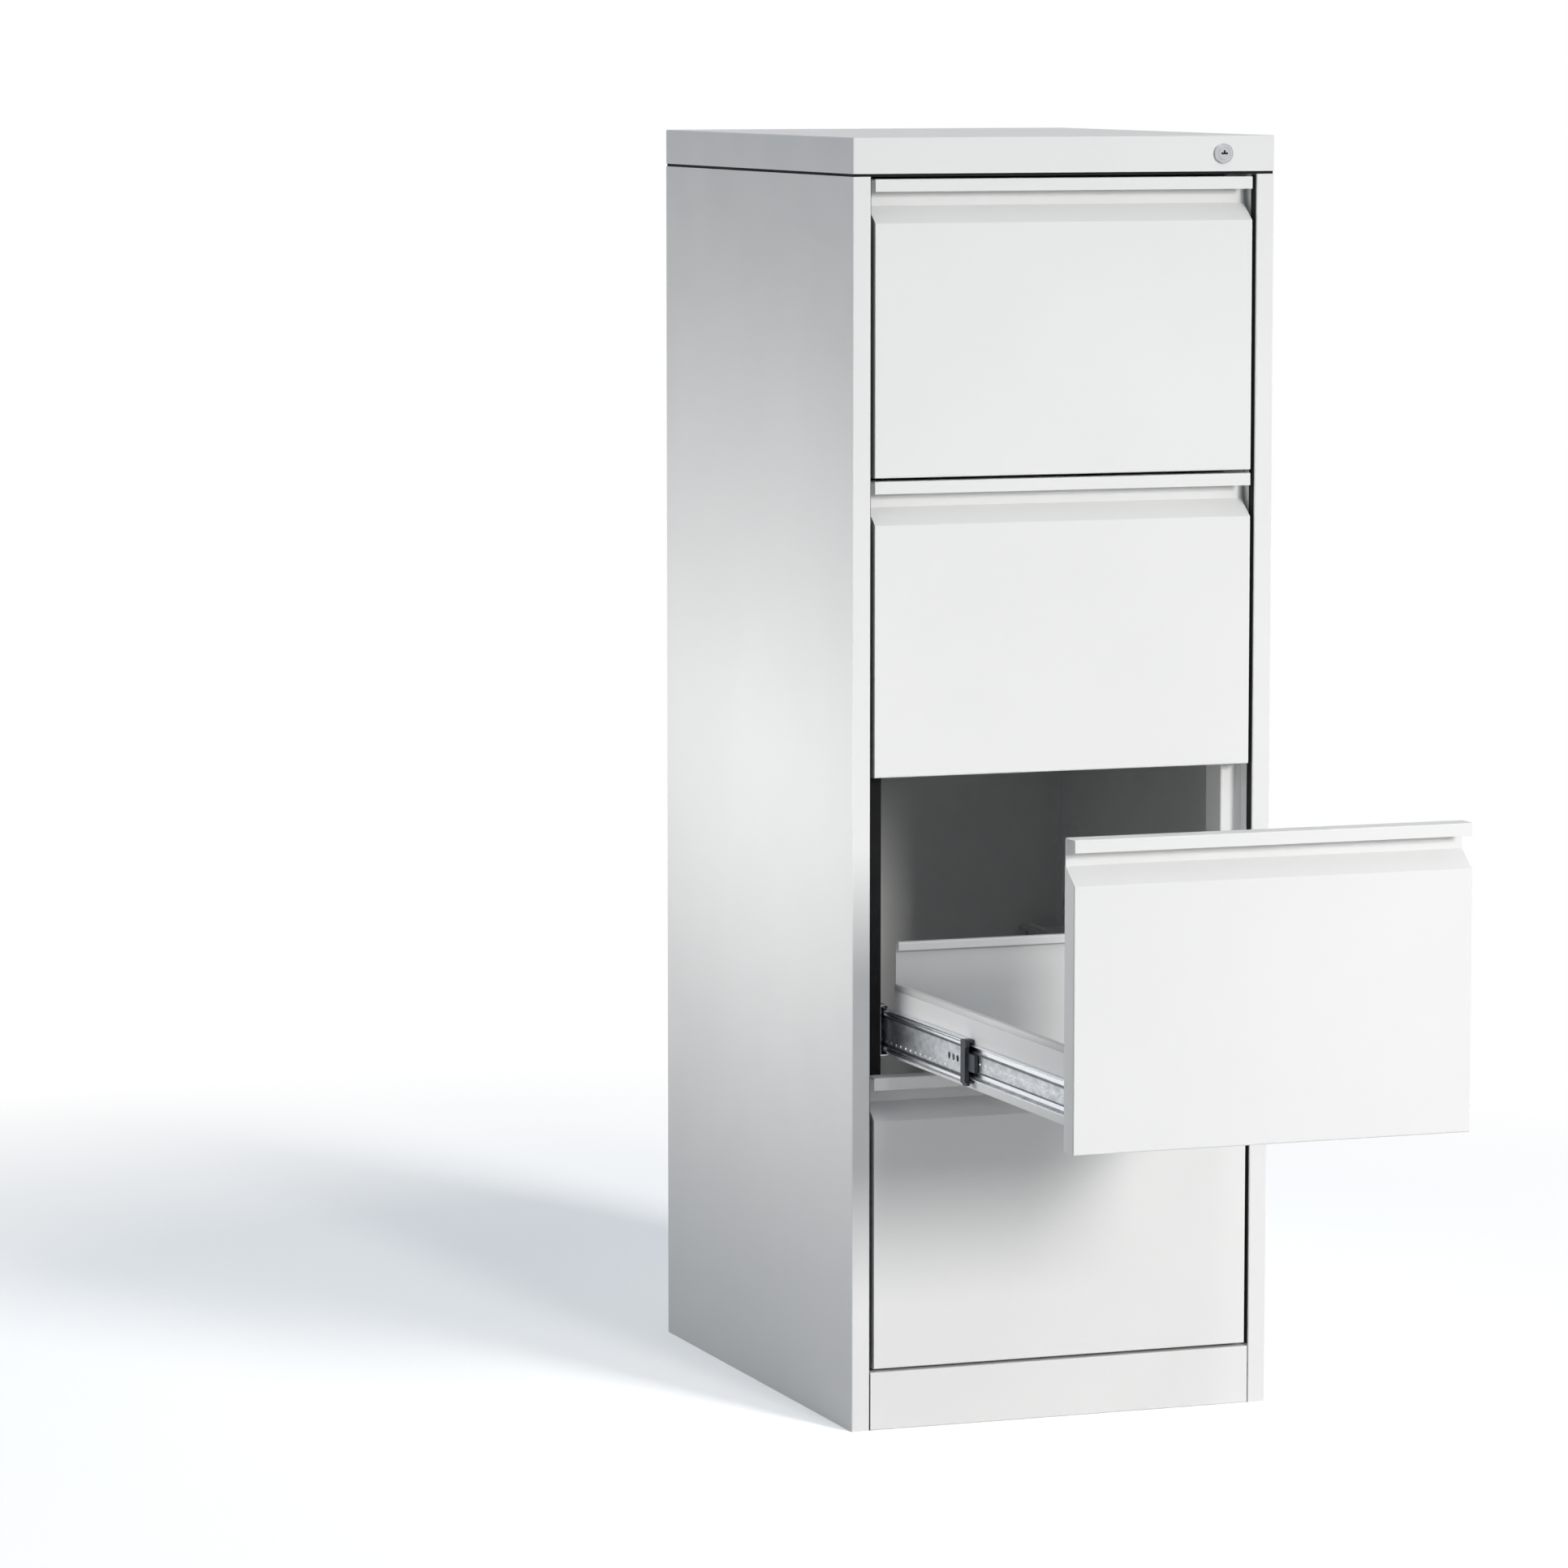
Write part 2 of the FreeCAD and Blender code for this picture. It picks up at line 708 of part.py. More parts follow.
def back_wall(number):
    """Raised rear wall of a drawer, with a foot on the tray's bottom and a rolled upper edge."""
    low = drawer_bottom(number) + tray_lift + sheet
    high = drawer_bottom(number) + back_wall_top
    hem_y = tray_rear_y - back_hem_width
    line = [
        (tray_rear_y - back_wall_foot, low),
        (tray_rear_y, low),
        (tray_rear_y, high),
        (hem_y, high),
        (hem_y, high - back_hem_drop),
    ]
    reach = tray_half_width - sheet
    return bent_sheet(line, "yz", (-reach, reach), sheet, tray_bend_radius)


def lock_housing():
    """Round housing with a rim in front of the skirt, bored for the plug."""
    rim_front = front_y - lock_rim_depth
    rim = rod(point(lock_x, rim_front, lock_z), point(0, 1, 0), lock_rim_radius, lock_rim_depth)
    edge = [line for line in rim.Edges if line.BoundBox.YMax < front_y - lock_rim_depth / 2]
    rim = rim.makeFillet(lock_rim_edge, edge)
    body = rod(point(lock_x, front_y, lock_z), point(0, 1, 0), lock_body_radius, lock_body_length)
    bore_length = lock_rim_depth + lock_body_length
    bore = rod(point(lock_x, rim_front, lock_z), point(0, 1, 0), plug_radius + plug_clearance, bore_length)
    return rim.fuse(body).cut(bore).removeSplitter()


def lock_plug():
    """Turning plug with its keyway and a square tail for the cam."""
    start_y = front_y - lock_rim_depth - plug_proud
    barrel = rod(point(lock_x, start_y, lock_z), point(0, 1, 0), plug_radius, cam_front - start_y)
    tail_x = (lock_x - tail_half_width, lock_x + tail_half_width)
    tail_z = (lock_z - tail_half_width, lock_z + tail_half_width)
    tail = block(tail_x, (cam_front, cam_rear), tail_z)
    key_y = (start_y, start_y + keyway_depth)
    key_x = (lock_x - keyway_height / 2, lock_x + keyway_height / 2)
    key_z = (lock_z - keyway_width / 2, lock_z + keyway_width / 2)
    ward_x = (lock_x - keyway_width / 2, lock_x + keyway_width / 2)
    ward_z = (lock_z - keyway_width / 2, lock_z + keyway_ward)
    keyway = block(key_x, key_y, key_z).fuse(block(ward_x, key_y, ward_z))
    screw_start = point(lock_x, cam_rear - cam_screw_length, lock_z)
    screw_hole = rod(screw_start, point(0, 1, 0), cam_screw_radius + tail_clearance, cam_screw_length)
    return barrel.fuse(tail).cut(keyway).cut(screw_hole).removeSplitter()


def lock_cam():
    """Cam plate on the plug's tail, with the pin that moves the lock bar."""
    along = point(0, 1, 0)
    hub = rod(point(lock_x, cam_front, lock_z), along, cam_hub_radius, cam_thickness)
    angle = math.radians(cam_start_angle)
    pin_x = lock_x + cam_throw * math.cos(angle)
    arm = block((0, cam_throw), (0, cam_thickness), (-cam_arm_half_width, cam_arm_half_width))
    arm.rotate(point(0, 0, 0), along, cam_start_angle)
    arm.translate(point(lock_x, cam_front, lock_z))
    tip = rod(point(pin_x, cam_front, pin_rest_z), along, cam_arm_half_width, cam_thickness)
    pin = rod(point(pin_x, cam_rear, pin_rest_z), along, pin_radius, pin_length)
    room = tail_half_width + tail_clearance
    square = block((lock_x - room, lock_x + room), (cam_front, cam_rear), (lock_z - room, lock_z + room))
    return hub.fuse([arm, tip, pin]).cut(square).removeSplitter()


def lock_cam_screw():
    """Screw that holds the cam on the plug."""
    shank_start = point(lock_x, cam_rear - cam_screw_length, lock_z)
    shank = rod(shank_start, point(0, 1, 0), cam_screw_radius, cam_screw_length)
    head_start = point(lock_x, cam_rear, lock_z)
    head = rod(head_start, point(0, 1, 0), cam_screw_head_radius, cam_screw_head_height)
    return shank.fuse(head).removeSplitter()


def lock_nut():
    """Hexagon nut behind the cover's skirt."""
    corner = nut_across_flats / math.sqrt(3)
    angles = [math.radians(60 * step) for step in range(6)]
    y = front_y + sheet
    outline = [point(lock_x + corner * math.cos(a), y, lock_z + corner * math.sin(a)) for a in angles]
    body = Part.Face(Part.makePolygon(outline + outline[:1])).extrude(point(0, nut_thickness, 0))
    hole = rod(point(lock_x, y, lock_z), point(0, 1, 0), lock_body_radius + nut_clearance, nut_thickness)
    return body.cut(hole)


def hook_bottom(number):
    """Lower edge of a hook while the lock is open."""
    return drawer_bottom(number) + catch_lift - hook_rest_gap - hook_height


def lock_bar():
    """Upright strip, with a slotted arm for the cam's pin and a hook for each drawer welded to its edge."""
    y = (bar_front, bar_rear)
    top = pin_rest_z + arm_half_height
    strip = block((bar_left, bar_right), y, (hook_bottom(drawer_count), top))
    pin_near = lock_x + cam_throw * math.cos(math.radians(cam_start_angle))
    slot_x = (pin_near - pin_radius - slot_clearance, lock_x + cam_throw + pin_radius + slot_clearance)
    slot_half = pin_radius + slot_clearance
    slot = block(slot_x, y, (pin_rest_z - slot_half, pin_rest_z + slot_half))
    arm = block((slot_x[0] - arm_edge, bar_left), y, (pin_rest_z - arm_half_height, top))
    hooks = []
    for number in range(1, drawer_count + 1):
        low = hook_bottom(number)
        hooks.append(block((tray_half_width + hook_tip_gap, bar_left), y, (low, low + hook_height)))
    return [strip, arm.cut(slot)] + hooks


def lock_bar_guides():
    """Staples on the upright that hold the lock bar, one below each front but the lowest."""
    inner_x = (bar_left - guide_clearance, bar_right + guide_clearance)
    outer_x = (inner_x[0] - guide_wall, inner_x[1] + guide_wall)
    front = jamb_y + upright_sheet
    guides = []
    for number in range(1, drawer_count):
        low = drawer_bottom(number) + guide_height
        z = (low, low + guide_height)
        staple = block(outer_x, (front, front + guide_depth), z)
        groove = block(inner_x, (front, bar_rear + guide_clearance), z)
        guides.append(staple.cut(groove))
    return guides


def save_carcass():
    """Write the pieces that stay with the cabinet."""
    save("side_panel_right", [side_panel()])
    save("side_panel_left", [mirrored(side_panel())])
    save("back_panel", [back_panel()])
    save("base_frame", [base_frame()])
    save("bottom_panel", [bottom_panel()])
    save("plinth_panel", [plinth_panel()])
    save("top_cover", [top_cover()])
    save("top_frame", [top_frame()])
    save("uprights", uprights())
    save("rail_brackets", rail_brackets())
    numbers = range(1, drawer_count + 1)
    save("cabinet_rails", both_sides([cabinet_rail(number) for number in numbers]))
    save("rail_screws", both_sides([rail_screw(place) for place in screw_points()]))


def save_lock():
    """Write the lock, its cam and its bar."""
    save("lock_housing", [lock_housing()])
    save("lock_nut", [lock_nut()])
    save("lock_plug", [lock_plug()])
    save("lock_cam", [lock_cam()])
    save("lock_cam_screw", [lock_cam_screw()])
    save("lock_bar", lock_bar())
    save("lock_bar_guides", lock_bar_guides())


def save_drawer(number):
    """Write one drawer with its slides, pulled out if it is the open one."""
    travel = drawer_travel if number == open_drawer_number else 0.0
    pieces = {
        "front": ([drawer_front(number)], 1),
        "backing": ([front_backing(number)], 1),
        "tray": ([tray(number), catch(number)], 1),
        "back_wall": ([back_wall(number)], 1),
        "slide_rails": (both_sides([drawer_rail(number)]), 1),
        "rail_ends": (both_sides([rail_end(number)]), 1),
        "middle_rails": (both_sides([middle_rail(number)]), 0.5),
        "middle_ends": (both_sides([middle_end(number)]), 0.5),
        "inner_cages": (both_sides(inner_cage(number)), 0.25),
        "outer_cages": (both_sides(outer_cage(number)), 0.75),
    }
    for name, (shapes, share) in pieces.items():
        out = [moved(shape, -travel * share) for shape in shapes]
        save(f"drawer_{number}_{name}", out)


save_carcass()
save_lock()
for drawer_number in range(1, drawer_count + 1):
    save_drawer(drawer_number)
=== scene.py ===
"""Card index cabinet: finishes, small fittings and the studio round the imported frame."""

import json
import math

import bmesh
import bpy
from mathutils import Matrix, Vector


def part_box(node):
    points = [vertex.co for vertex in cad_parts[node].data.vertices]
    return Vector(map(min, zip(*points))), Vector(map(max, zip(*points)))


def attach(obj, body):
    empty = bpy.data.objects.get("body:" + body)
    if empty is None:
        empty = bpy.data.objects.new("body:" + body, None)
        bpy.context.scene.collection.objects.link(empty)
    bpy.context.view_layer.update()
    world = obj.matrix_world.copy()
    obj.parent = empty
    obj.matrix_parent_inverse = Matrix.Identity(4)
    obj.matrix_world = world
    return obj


bl_info = {
    "name": "Card Index Cabinet",
    "version": (1, 0, 0),
    "blender": (4, 5, 0),
    "location": "View3D > Sidebar > Cabinet",
    "description": "Finishes a steel card index cabinet and sets it in a plain studio",
    "category": "Object",
}

DRAWERS = (1, 2, 3, 4)
FLOOR_TONE = 0.84
FLOOR_BOUNCE = 0.6
ROOM_COLOUR = (0.88, 0.94, 1.0)
LAMP_COLOUR = (1.0, 0.975, 0.955)
# Each lamp's place, the point it looks at, its width and height, and its spread in degrees.
LAMPS = {
    "key_lamp": ((0.5, -6.9, 9.0), (0.0, 0.0, 0.5), (0.7, 7.4), 180.0),
    "right_lamp": ((2.7, -7.6, 2.5), (0.1, -0.3, 0.4), (1.5, 1.8), 44.0),
    "side_lamp": ((-1.0, 0.0, 0.64), (-0.2375, 0.0, 0.7), (1.3, 0.1), 100.0),
    "back_lamp": ((0.0, 1.0, 0.72), (0.0, 0.3, 0.72), (0.2, 0.9), 40.0),
}
# Middle of the floor that keeps the shadow, and the distances over which it fades to white.
SHADOW_MIDDLE = (-0.2, 0.35, 0.0)
SHADOW_FADE = (0.8, 1.9)
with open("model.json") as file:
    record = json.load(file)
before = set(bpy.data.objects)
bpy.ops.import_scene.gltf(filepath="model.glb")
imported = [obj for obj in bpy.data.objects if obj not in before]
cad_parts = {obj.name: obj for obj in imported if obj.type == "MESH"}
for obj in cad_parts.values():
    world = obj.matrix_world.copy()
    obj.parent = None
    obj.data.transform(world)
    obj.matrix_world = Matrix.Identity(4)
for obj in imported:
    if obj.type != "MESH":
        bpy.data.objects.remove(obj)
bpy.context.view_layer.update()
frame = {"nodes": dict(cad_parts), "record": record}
NODES = frame["nodes"]

CARCASS_SHEETS = (
    "side_panel_left",
    "side_panel_right",
    "back_panel",
    "base_frame",
    "bottom_panel",
    "plinth_panel",
    "top_cover",
    "top_frame",
    "uprights",
    "rail_brackets",
)
DRAWER_SHEETS = ("front", "backing", "tray", "back_wall")

# Painted light on a rail by distance in height from its middle, as pairs of height and tone: low
# values are painted shade on its web and in its grooves and ball tracks, and full tone marks its
# ridges, which get a lighter colour as painted highlight.
MIDDLE_RAIL_PAINTED_LIGHT = (
    (0.0, 0.8),
    (0.0132, 0.72),
    (0.0142, 0.16),
    (0.0160, 0.2),
    (0.0172, 1.0),
    (0.0192, 1.0),
    (0.0198, 0.3),
    (0.0204, 0.3),
    (0.0210, 1.0),
    (0.0250, 1.0),
)
DRAWER_RAIL_PAINTED_LIGHT = (
    (0.0, 0.8),
    (0.0076, 0.74),
    (0.0086, 0.2),
    (0.0098, 0.25),
    (0.0108, 1.0),
    (0.0146, 1.0),
    (0.0160, 0.35),
    (0.0178, 1.0),
    (0.0250, 1.0),
)
MIDDLE_WEB_STEP = 0.0023
DRAWER_WEB_STEP = 0.0028
STAMPING_START = 0.05
STAMPING_END = 0.03
TRACK_HEIGHT = 0.0112
RIVET_HEIGHT = 0.0085
RIVET_SETBACK = 0.006
RIVET_RADIUS = 0.0025
LEVER_REACH = 0.018
LEVER_SETBACK = 0.0046
BUFFER_INSET = 0.009
DRAWER_SIDE_GAP = 0.005
# Sizes of the black strips of painted shade in the gaps beside and below the fronts.
STRIP_SHEET = 0.0008
STRIP_SETBACK = 0.002
JAMB_STRIP_WIDTH = 0.013
FRONT_STRIP_SETBACK = 0.009
FRONT_STRIP_END = 0.023
UPRIGHT_REACH = 0.1945
BEAD_HEIGHT = 0.0072
BEAD_DEPTH = 0.0016
BEAD_SETBACK = 0.003
BEAD_COVER = 0.0001
BEAD_HOLD = 0.0004
BEAD_STEPS = 8
BUFFER_HOLD = 0.0002
# Outlines of the slide's plastic end, from its front plate and its middle height.
END_OUTER = 0.0002
END_INNER = 0.0044
END_FOOT = (
    (0.001, -0.0205),
    (-0.0035, -0.0210),
    (-0.0042, -0.0228),
    (-0.0030, -0.0244),
    (0.0050, -0.0247),
    (0.0080, -0.0236),
    (0.0085, -0.0220),
)
END_NOSE = (
    (0.001, 0.0222),
    (-0.0022, 0.0205),
    (-0.0028, 0.0160),
    (0.001, 0.0125),
)
RIB_COUNT = 4
RIB_START = 0.0015
RIB_PITCH = 0.0034
RIB_WIDTH = 0.0014
RIB_HALF_LENGTH = 0.0074
RIB_RISE = 0.0008
RIB_HOLD = 0.0006
# Outline of the keyway from the lock's axis: across, up.
KEYWAY = (
    (-0.0037, -0.0009),
    (0.0037, -0.0009),
    (0.0037, 0.0009),
    (0.0009, 0.0009),
    (0.0009, 0.0033),
    (-0.0009, 0.0033),
    (-0.0009, 0.0009),
    (-0.0037, 0.0009),
)
# Setback and length of the black plate of painted shade in the keyway.
KEYWAY_SHADE_SETBACK = 0.0006
KEYWAY_SHADE_LENGTH = 0.008
RING_RADIUS = 0.0069
RING_WIRE = 0.0006


def record_colour(slot):
    """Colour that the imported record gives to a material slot."""
    for material in frame["record"]["materials"]:
        if material["slot"] == slot:
            return tuple(material["base_color"][:3])
    raise ValueError(f"the record has no material slot {slot}")


class PaintSettings(bpy.types.PropertyGroup):
    """Powder coat of the cabinet."""

    colour: bpy.props.FloatVectorProperty(
        name="Paint Colour",
        description="Colour of the powder coat",
        default=record_colour("light_grey_paint"),
        size=3,
        subtype="COLOR",
        min=0.0,
        max=1.0,
    )
    mottle: bpy.props.FloatProperty(
        name="Mottle",
        description="Share by which the colour drifts over a panel",
        default=0.02,
        min=0.0,
        max=0.2,
        subtype="FACTOR",
    )
    gloss_low: bpy.props.FloatProperty(
        name="Smoothest",
        description="Roughness where the coat is smoothest",
        default=0.36,
        min=0.0,
        max=1.0,
        subtype="FACTOR",
    )
    gloss_high: bpy.props.FloatProperty(
        name="Roughest",
        description="Roughness where the coat is roughest",
        default=0.46,
        min=0.0,
        max=1.0,
        subtype="FACTOR",
    )
    grain_size: bpy.props.FloatProperty(
        name="Grain Size",
        description="Distance between the grains of the coat",
        default=0.0009,
        min=0.0001,
        max=0.01,
        unit="LENGTH",
        precision=4,
    )
    grain_height: bpy.props.FloatProperty(
        name="Grain Height",
        description="Height of the grains of the coat",
        default=0.00002,
        min=0.0,
        max=0.001,
        unit="LENGTH",
        precision=5,
    )


class SlideSettings(bpy.types.PropertyGroup):
    """Zinc, steel and plastic of the ball slides."""

    zinc_colour: bpy.props.FloatVectorProperty(
        name="Zinc Colour",
        description="Colour of the zinc-plated rails",
        default=record_colour("zinc_steel"),
        size=3,
        subtype="COLOR",
        min=0.0,
        max=1.0,
    )
    ball_colour: bpy.props.FloatVectorProperty(
        name="Ball Colour",
        description="Colour of the balls and their cages",
        default=record_colour("ball_steel"),
        size=3,
        subtype="COLOR",
        min=0.0,
        max=1.0,
    )
    plastic_colour: bpy.props.FloatVectorProperty(
        name="Plastic Colour",
        description="Colour of the moulded ends",
        default=record_colour("dark_plastic"),
        size=3,
        subtype="COLOR",
        min=0.0,
        max=1.0,
    )
    streak_width: bpy.props.FloatProperty(
        name="Streak Width",
        description="Width of the rolling marks along the rails",
        default=0.0012,
        min=0.0001,
        max=0.01,
        unit="LENGTH",
        precision=4,
    )
    plastic_edge: bpy.props.FloatProperty(
        name="Plastic Edge",
        description="Radius of the moulded edges",
        default=0.0006,
        min=0.0,
        max=0.003,
        unit="LENGTH",
        precision=4,
    )
    stamping_radius: bpy.props.FloatProperty(
        name="Stamping Radius",
        description="Radius of the stamped dimples along a rail",
        default=0.0017,
        min=0.0005,
        max=0.003,
        unit="LENGTH",
        precision=4,
    )
    stamping_height: bpy.props.FloatProperty(
        name="Stamping Height",
        description="How far a stamped dimple stands out of the rail",
        default=0.0006,
        min=0.0001,
        max=0.001,
        unit="LENGTH",
        precision=4,
    )
    stamping_pitch: bpy.props.FloatProperty(
        name="Stamping Pitch",
        description="Distance from one stamped dimple to the next",
        default=0.014,
        min=0.008,
        max=0.1,
        unit="LENGTH",
        precision=3,
    )


class RubberSettings(bpy.types.PropertyGroup):
    """Foam under the cover, rubber buffers behind the fronts, and the black of the painted shade in
    the gaps and the keyway.
    """

    colour: bpy.props.FloatVectorProperty(
        name="Rubber Colour",
        description="Colour of the foam and rubber",
        default=(0.012, 0.012, 0.013),
        size=3,
        subtype="COLOR",
        min=0.0,
        max=1.0,
    )
    foam_setback: bpy.props.FloatProperty(
        name="Foam Setback",
        description="Distance from the cover's side to the foam",
        default=0.0012,
        min=0.0,
        max=0.004,
        unit="LENGTH",
        precision=4,
    )
    foam_width: bpy.props.FloatProperty(
        name="Foam Width",
        description="Width of the foam strip under the cover",
        default=0.008,
        min=0.002,
        max=0.01,
        unit="LENGTH",
        precision=4,
    )
    buffer_radius: bpy.props.FloatProperty(
        name="Buffer Radius",
        description="Radius of the buffers behind the fronts",
        default=0.004,
        min=0.002,
        max=0.006,
        unit="LENGTH",
        precision=4,
    )
    buffer_height: bpy.props.FloatProperty(
        name="Buffer Height",
        description="Height of the buffers behind the fronts",
        default=0.0029,
        min=0.001,
        max=0.0038,
        unit="LENGTH",
        precision=4,
    )


class LockSettings(bpy.types.PropertyGroup):
    """Plating of the lock."""

    colour: bpy.props.FloatVectorProperty(
        name="Plating Colour",
        description="Colour of the plated lock",
        default=tuple(0.7 * channel for channel in record_colour("lock_chrome")),
        size=3,
        subtype="COLOR",
        min=0.0,
        max=1.0,
    )
    ring_width: bpy.props.FloatProperty(
        name="Turning Marks",
        description="Distance between the turning marks on the lock's face",
        default=0.0005,
        min=0.0001,
        max=0.005,
        unit="LENGTH",
        precision=4,
    )


class StageSettings(bpy.types.PropertyGroup):
    """Floor, lamps and camera."""

    camera_place: bpy.props.FloatVectorProperty(
        name="Camera Place",
        description="Where the camera stands",
        default=(-2.709, -6.845, 1.467),
        size=3,
        subtype="TRANSLATION",
        unit="LENGTH",
    )
    camera_turn: bpy.props.FloatProperty(
        name="Camera Turn",
        description="Angle of the view towards the cabinet's right",
        default=math.radians(20.09),
        subtype="ANGLE",
        unit="ROTATION",
    )
    camera_tilt: bpy.props.FloatProperty(
        name="Camera Tilt",
        description="Angle by which the camera looks down",
        default=math.radians(6.36),
        subtype="ANGLE",
        unit="ROTATION",
    )
    lens: bpy.props.FloatProperty(
        name="Lens",
        description="Focal length in millimetres on a 36 mm sensor",
        default=155.28,
        min=10.0,
        max=500.0,
    )
    key_power: bpy.props.FloatProperty(
        name="Key Lamp",
        description="Power of the tall lamp high in front of the cabinet",
        default=110.0,
        min=0.0,
        unit="POWER",
    )
    right_power: bpy.props.FloatProperty(
        name="Right Lamp",
        description="Power of the soft box in front of the cabinet, to its right",
        default=28.0,
        min=0.0,
        unit="POWER",
    )
    side_power: bpy.props.FloatProperty(
        name="Side Lamp",
        description="Power of the long lamp beside the cabinet's left panel",
        default=2.1,
        min=0.0,
        unit="POWER",
    )
    back_power: bpy.props.FloatProperty(
        name="Back Lamp",
        description="Power of the soft lamp behind the cabinet",
        default=0.13,
        min=0.0,
        unit="POWER",
    )
    room_light: bpy.props.FloatProperty(
        name="Room Light",
        description="Strength of the even light from all round",
        default=0.4,
        min=0.0,
        max=2.0,
    )
    floor_reach: bpy.props.FloatProperty(
        name="Floor Reach",
        description="Half the length of the floor",
        default=60.0,
        min=5.0,
        max=200.0,
        unit="LENGTH",
    )


def blank_material(name):
    """Material with a shader and an output, and nothing else."""
    material = bpy.data.materials.new(name)
    material.use_nodes = True
    tree = material.node_tree
    tree.nodes.clear()
    shader = tree.nodes.new("ShaderNodeBsdfPrincipled")
    output = tree.nodes.new("ShaderNodeOutputMaterial")
    tree.links.new(shader.outputs["BSDF"], output.inputs["Surface"])
    return material, tree, shader


def part_place(tree, stretch=(1.0, 1.0, 1.0)):
    """Place on the part in metres, stretched along each axis."""
    place = tree.nodes.new("ShaderNodeTexCoord").outputs["Object"]
    mapping = tree.nodes.new("ShaderNodeMapping")
    mapping.inputs["Scale"].default_value = stretch
    tree.links.new(place, mapping.inputs["Vector"])
    return mapping.outputs["Vector"]


def noise(tree, place, scale, detail=2.0, roughness=0.5):
    """Noise value from 0 to 1 over the part."""
    node = tree.nodes.new("ShaderNodeTexNoise")
    node.inputs["Scale"].default_value = scale
    node.inputs["Detail"].default_value = detail
    node.inputs["Roughness"].default_value = roughness
    tree.links.new(place, node.inputs["Vector"])
    return node.outputs["Fac"]


def between(tree, value, low, high, source=(0.3, 0.7)):
    """Value moved from the source range to the range from low to high."""
    node = tree.nodes.new("ShaderNodeMapRange")
    node.inputs["From Min"].default_value = source[0]
    node.inputs["From Max"].default_value = source[1]
    node.inputs["To Min"].default_value = low
    node.inputs["To Max"].default_value = high
    tree.links.new(value, node.inputs["Value"])
    return node.outputs["Result"]


def shades(tree, value, dark, light, source=(0.3, 0.7)):
    """Colour that runs from dark to light with a value."""
    ramp = tree.nodes.new("ShaderNodeValToRGB")
    ramp.color_ramp.elements[0].position = source[0]
    ramp.color_ramp.elements[0].color = (*dark, 1.0)
    ramp.color_ramp.elements[1].position = source[1]
    ramp.color_ramp.elements[1].color = (*light, 1.0)
    tree.links.new(value, ramp.inputs["Fac"])
    return ramp.outputs["Color"]


def relief(tree, shader, height, distance, strength=1.0, below=None):
    """Fine relief on the shader's surface, on top of an earlier one."""
    bump = tree.nodes.new("ShaderNodeBump")
    bump.inputs["Strength"].default_value = strength
    bump.inputs["Distance"].default_value = distance
    tree.links.new(height, bump.inputs["Height"])
    if below is not None:
        tree.links.new(below, bump.inputs["Normal"])
    tree.links.new(bump.outputs["Normal"], shader.inputs["Normal"])
    return bump.outputs["Normal"]


def scaled(colour, share):
    """Colour made lighter or darker by a share."""
    return tuple(min(1.0, channel * (1.0 + share)) for channel in colour)


def powder_coat(name, settings, colour):
    """Satin powder coat with a fine grain and a slow drift of colour and gloss."""
    material, tree, shader = blank_material(name)
    place = part_place(tree)
    drift = noise(tree, place, 3.0, 3.0)
    dark = scaled(colour, -settings.mottle)
    light = scaled(colour, settings.mottle)
    tree.links.new(shades(tree, drift, dark, light), shader.inputs["Base Color"])
    patches = noise(tree, place, 14.0, 4.0)
    roughness = between(tree, patches, settings.gloss_low, settings.gloss_high)
    tree.links.new(roughness, shader.inputs["Roughness"])
    grain = noise(tree, place, 1.0 / settings.grain_size, 2.0, 0.6)
    under = relief(tree, shader, grain, settings.grain_height, 0.6)
    waves = noise(tree, place, 60.0, 2.0)
    relief(tree, shader, waves, settings.grain_height * 2.0, 0.15, under)
    shader.inputs["Specular IOR Level"].default_value = 0.35
    return material


def zinc_plate(name, colour, streak_width):
    """Bright zinc with rolling marks along the rail."""
    material, tree, shader = blank_material(name)
    shader.inputs["Metallic"].default_value = 1.0
    across = 1.0 / streak_width
    streaks = noise(tree, part_place(tree, (1.0, 0.02, 1.0)), across, 3.0, 0.6)
    clouds = noise(tree, part_place(tree), 40.0, 3.0)
    base = shades(tree, streaks, scaled(colour, -0.10), scaled(colour, 0.12))
    tree.links.new(base, shader.inputs["Base Color"])
    tree.links.new(between(tree, clouds, 0.24, 0.40), shader.inputs["Roughness"])
    relief(tree, shader, streaks, 0.00002, 0.5)
    return material


def ball_steel(name, colour):
    """Plain steel with a thin film of grease."""
    material, tree, shader = blank_material(name)
    shader.inputs["Metallic"].default_value = 1.0
    clouds = noise(tree, part_place(tree), 90.0, 3.0)
    base = shades(tree, clouds, scaled(colour, -0.15), scaled(colour, 0.10))
    tree.links.new(base, shader.inputs["Base Color"])
    tree.links.new(between(tree, clouds, 0.16, 0.34), shader.inputs["Roughness"])
    relief(tree, shader, clouds, 0.00003, 0.3)
    shader.inputs["Coat Weight"].default_value = 0.3
    shader.inputs["Coat Roughness"].default_value = 0.2
    return material


def moulded_plastic(name, colour):
    """Dark plastic with a sparked texture."""
    material, tree, shader = blank_material(name)
    place = part_place(tree)
    grain = noise(tree, place, 2600.0, 2.0, 0.6)
    clouds = noise(tree, place, 120.0, 3.0)
    base = shades(tree, clouds, scaled(colour, -0.55), scaled(colour, -0.2))
    tree.links.new(base, shader.inputs["Base Color"])
    tree.links.new(between(tree, clouds, 0.38, 0.52), shader.inputs["Roughness"])
    shader.inputs["Specular IOR Level"].default_value = 0.3
    relief(tree, shader, grain, 0.00004, 0.5)
    return material


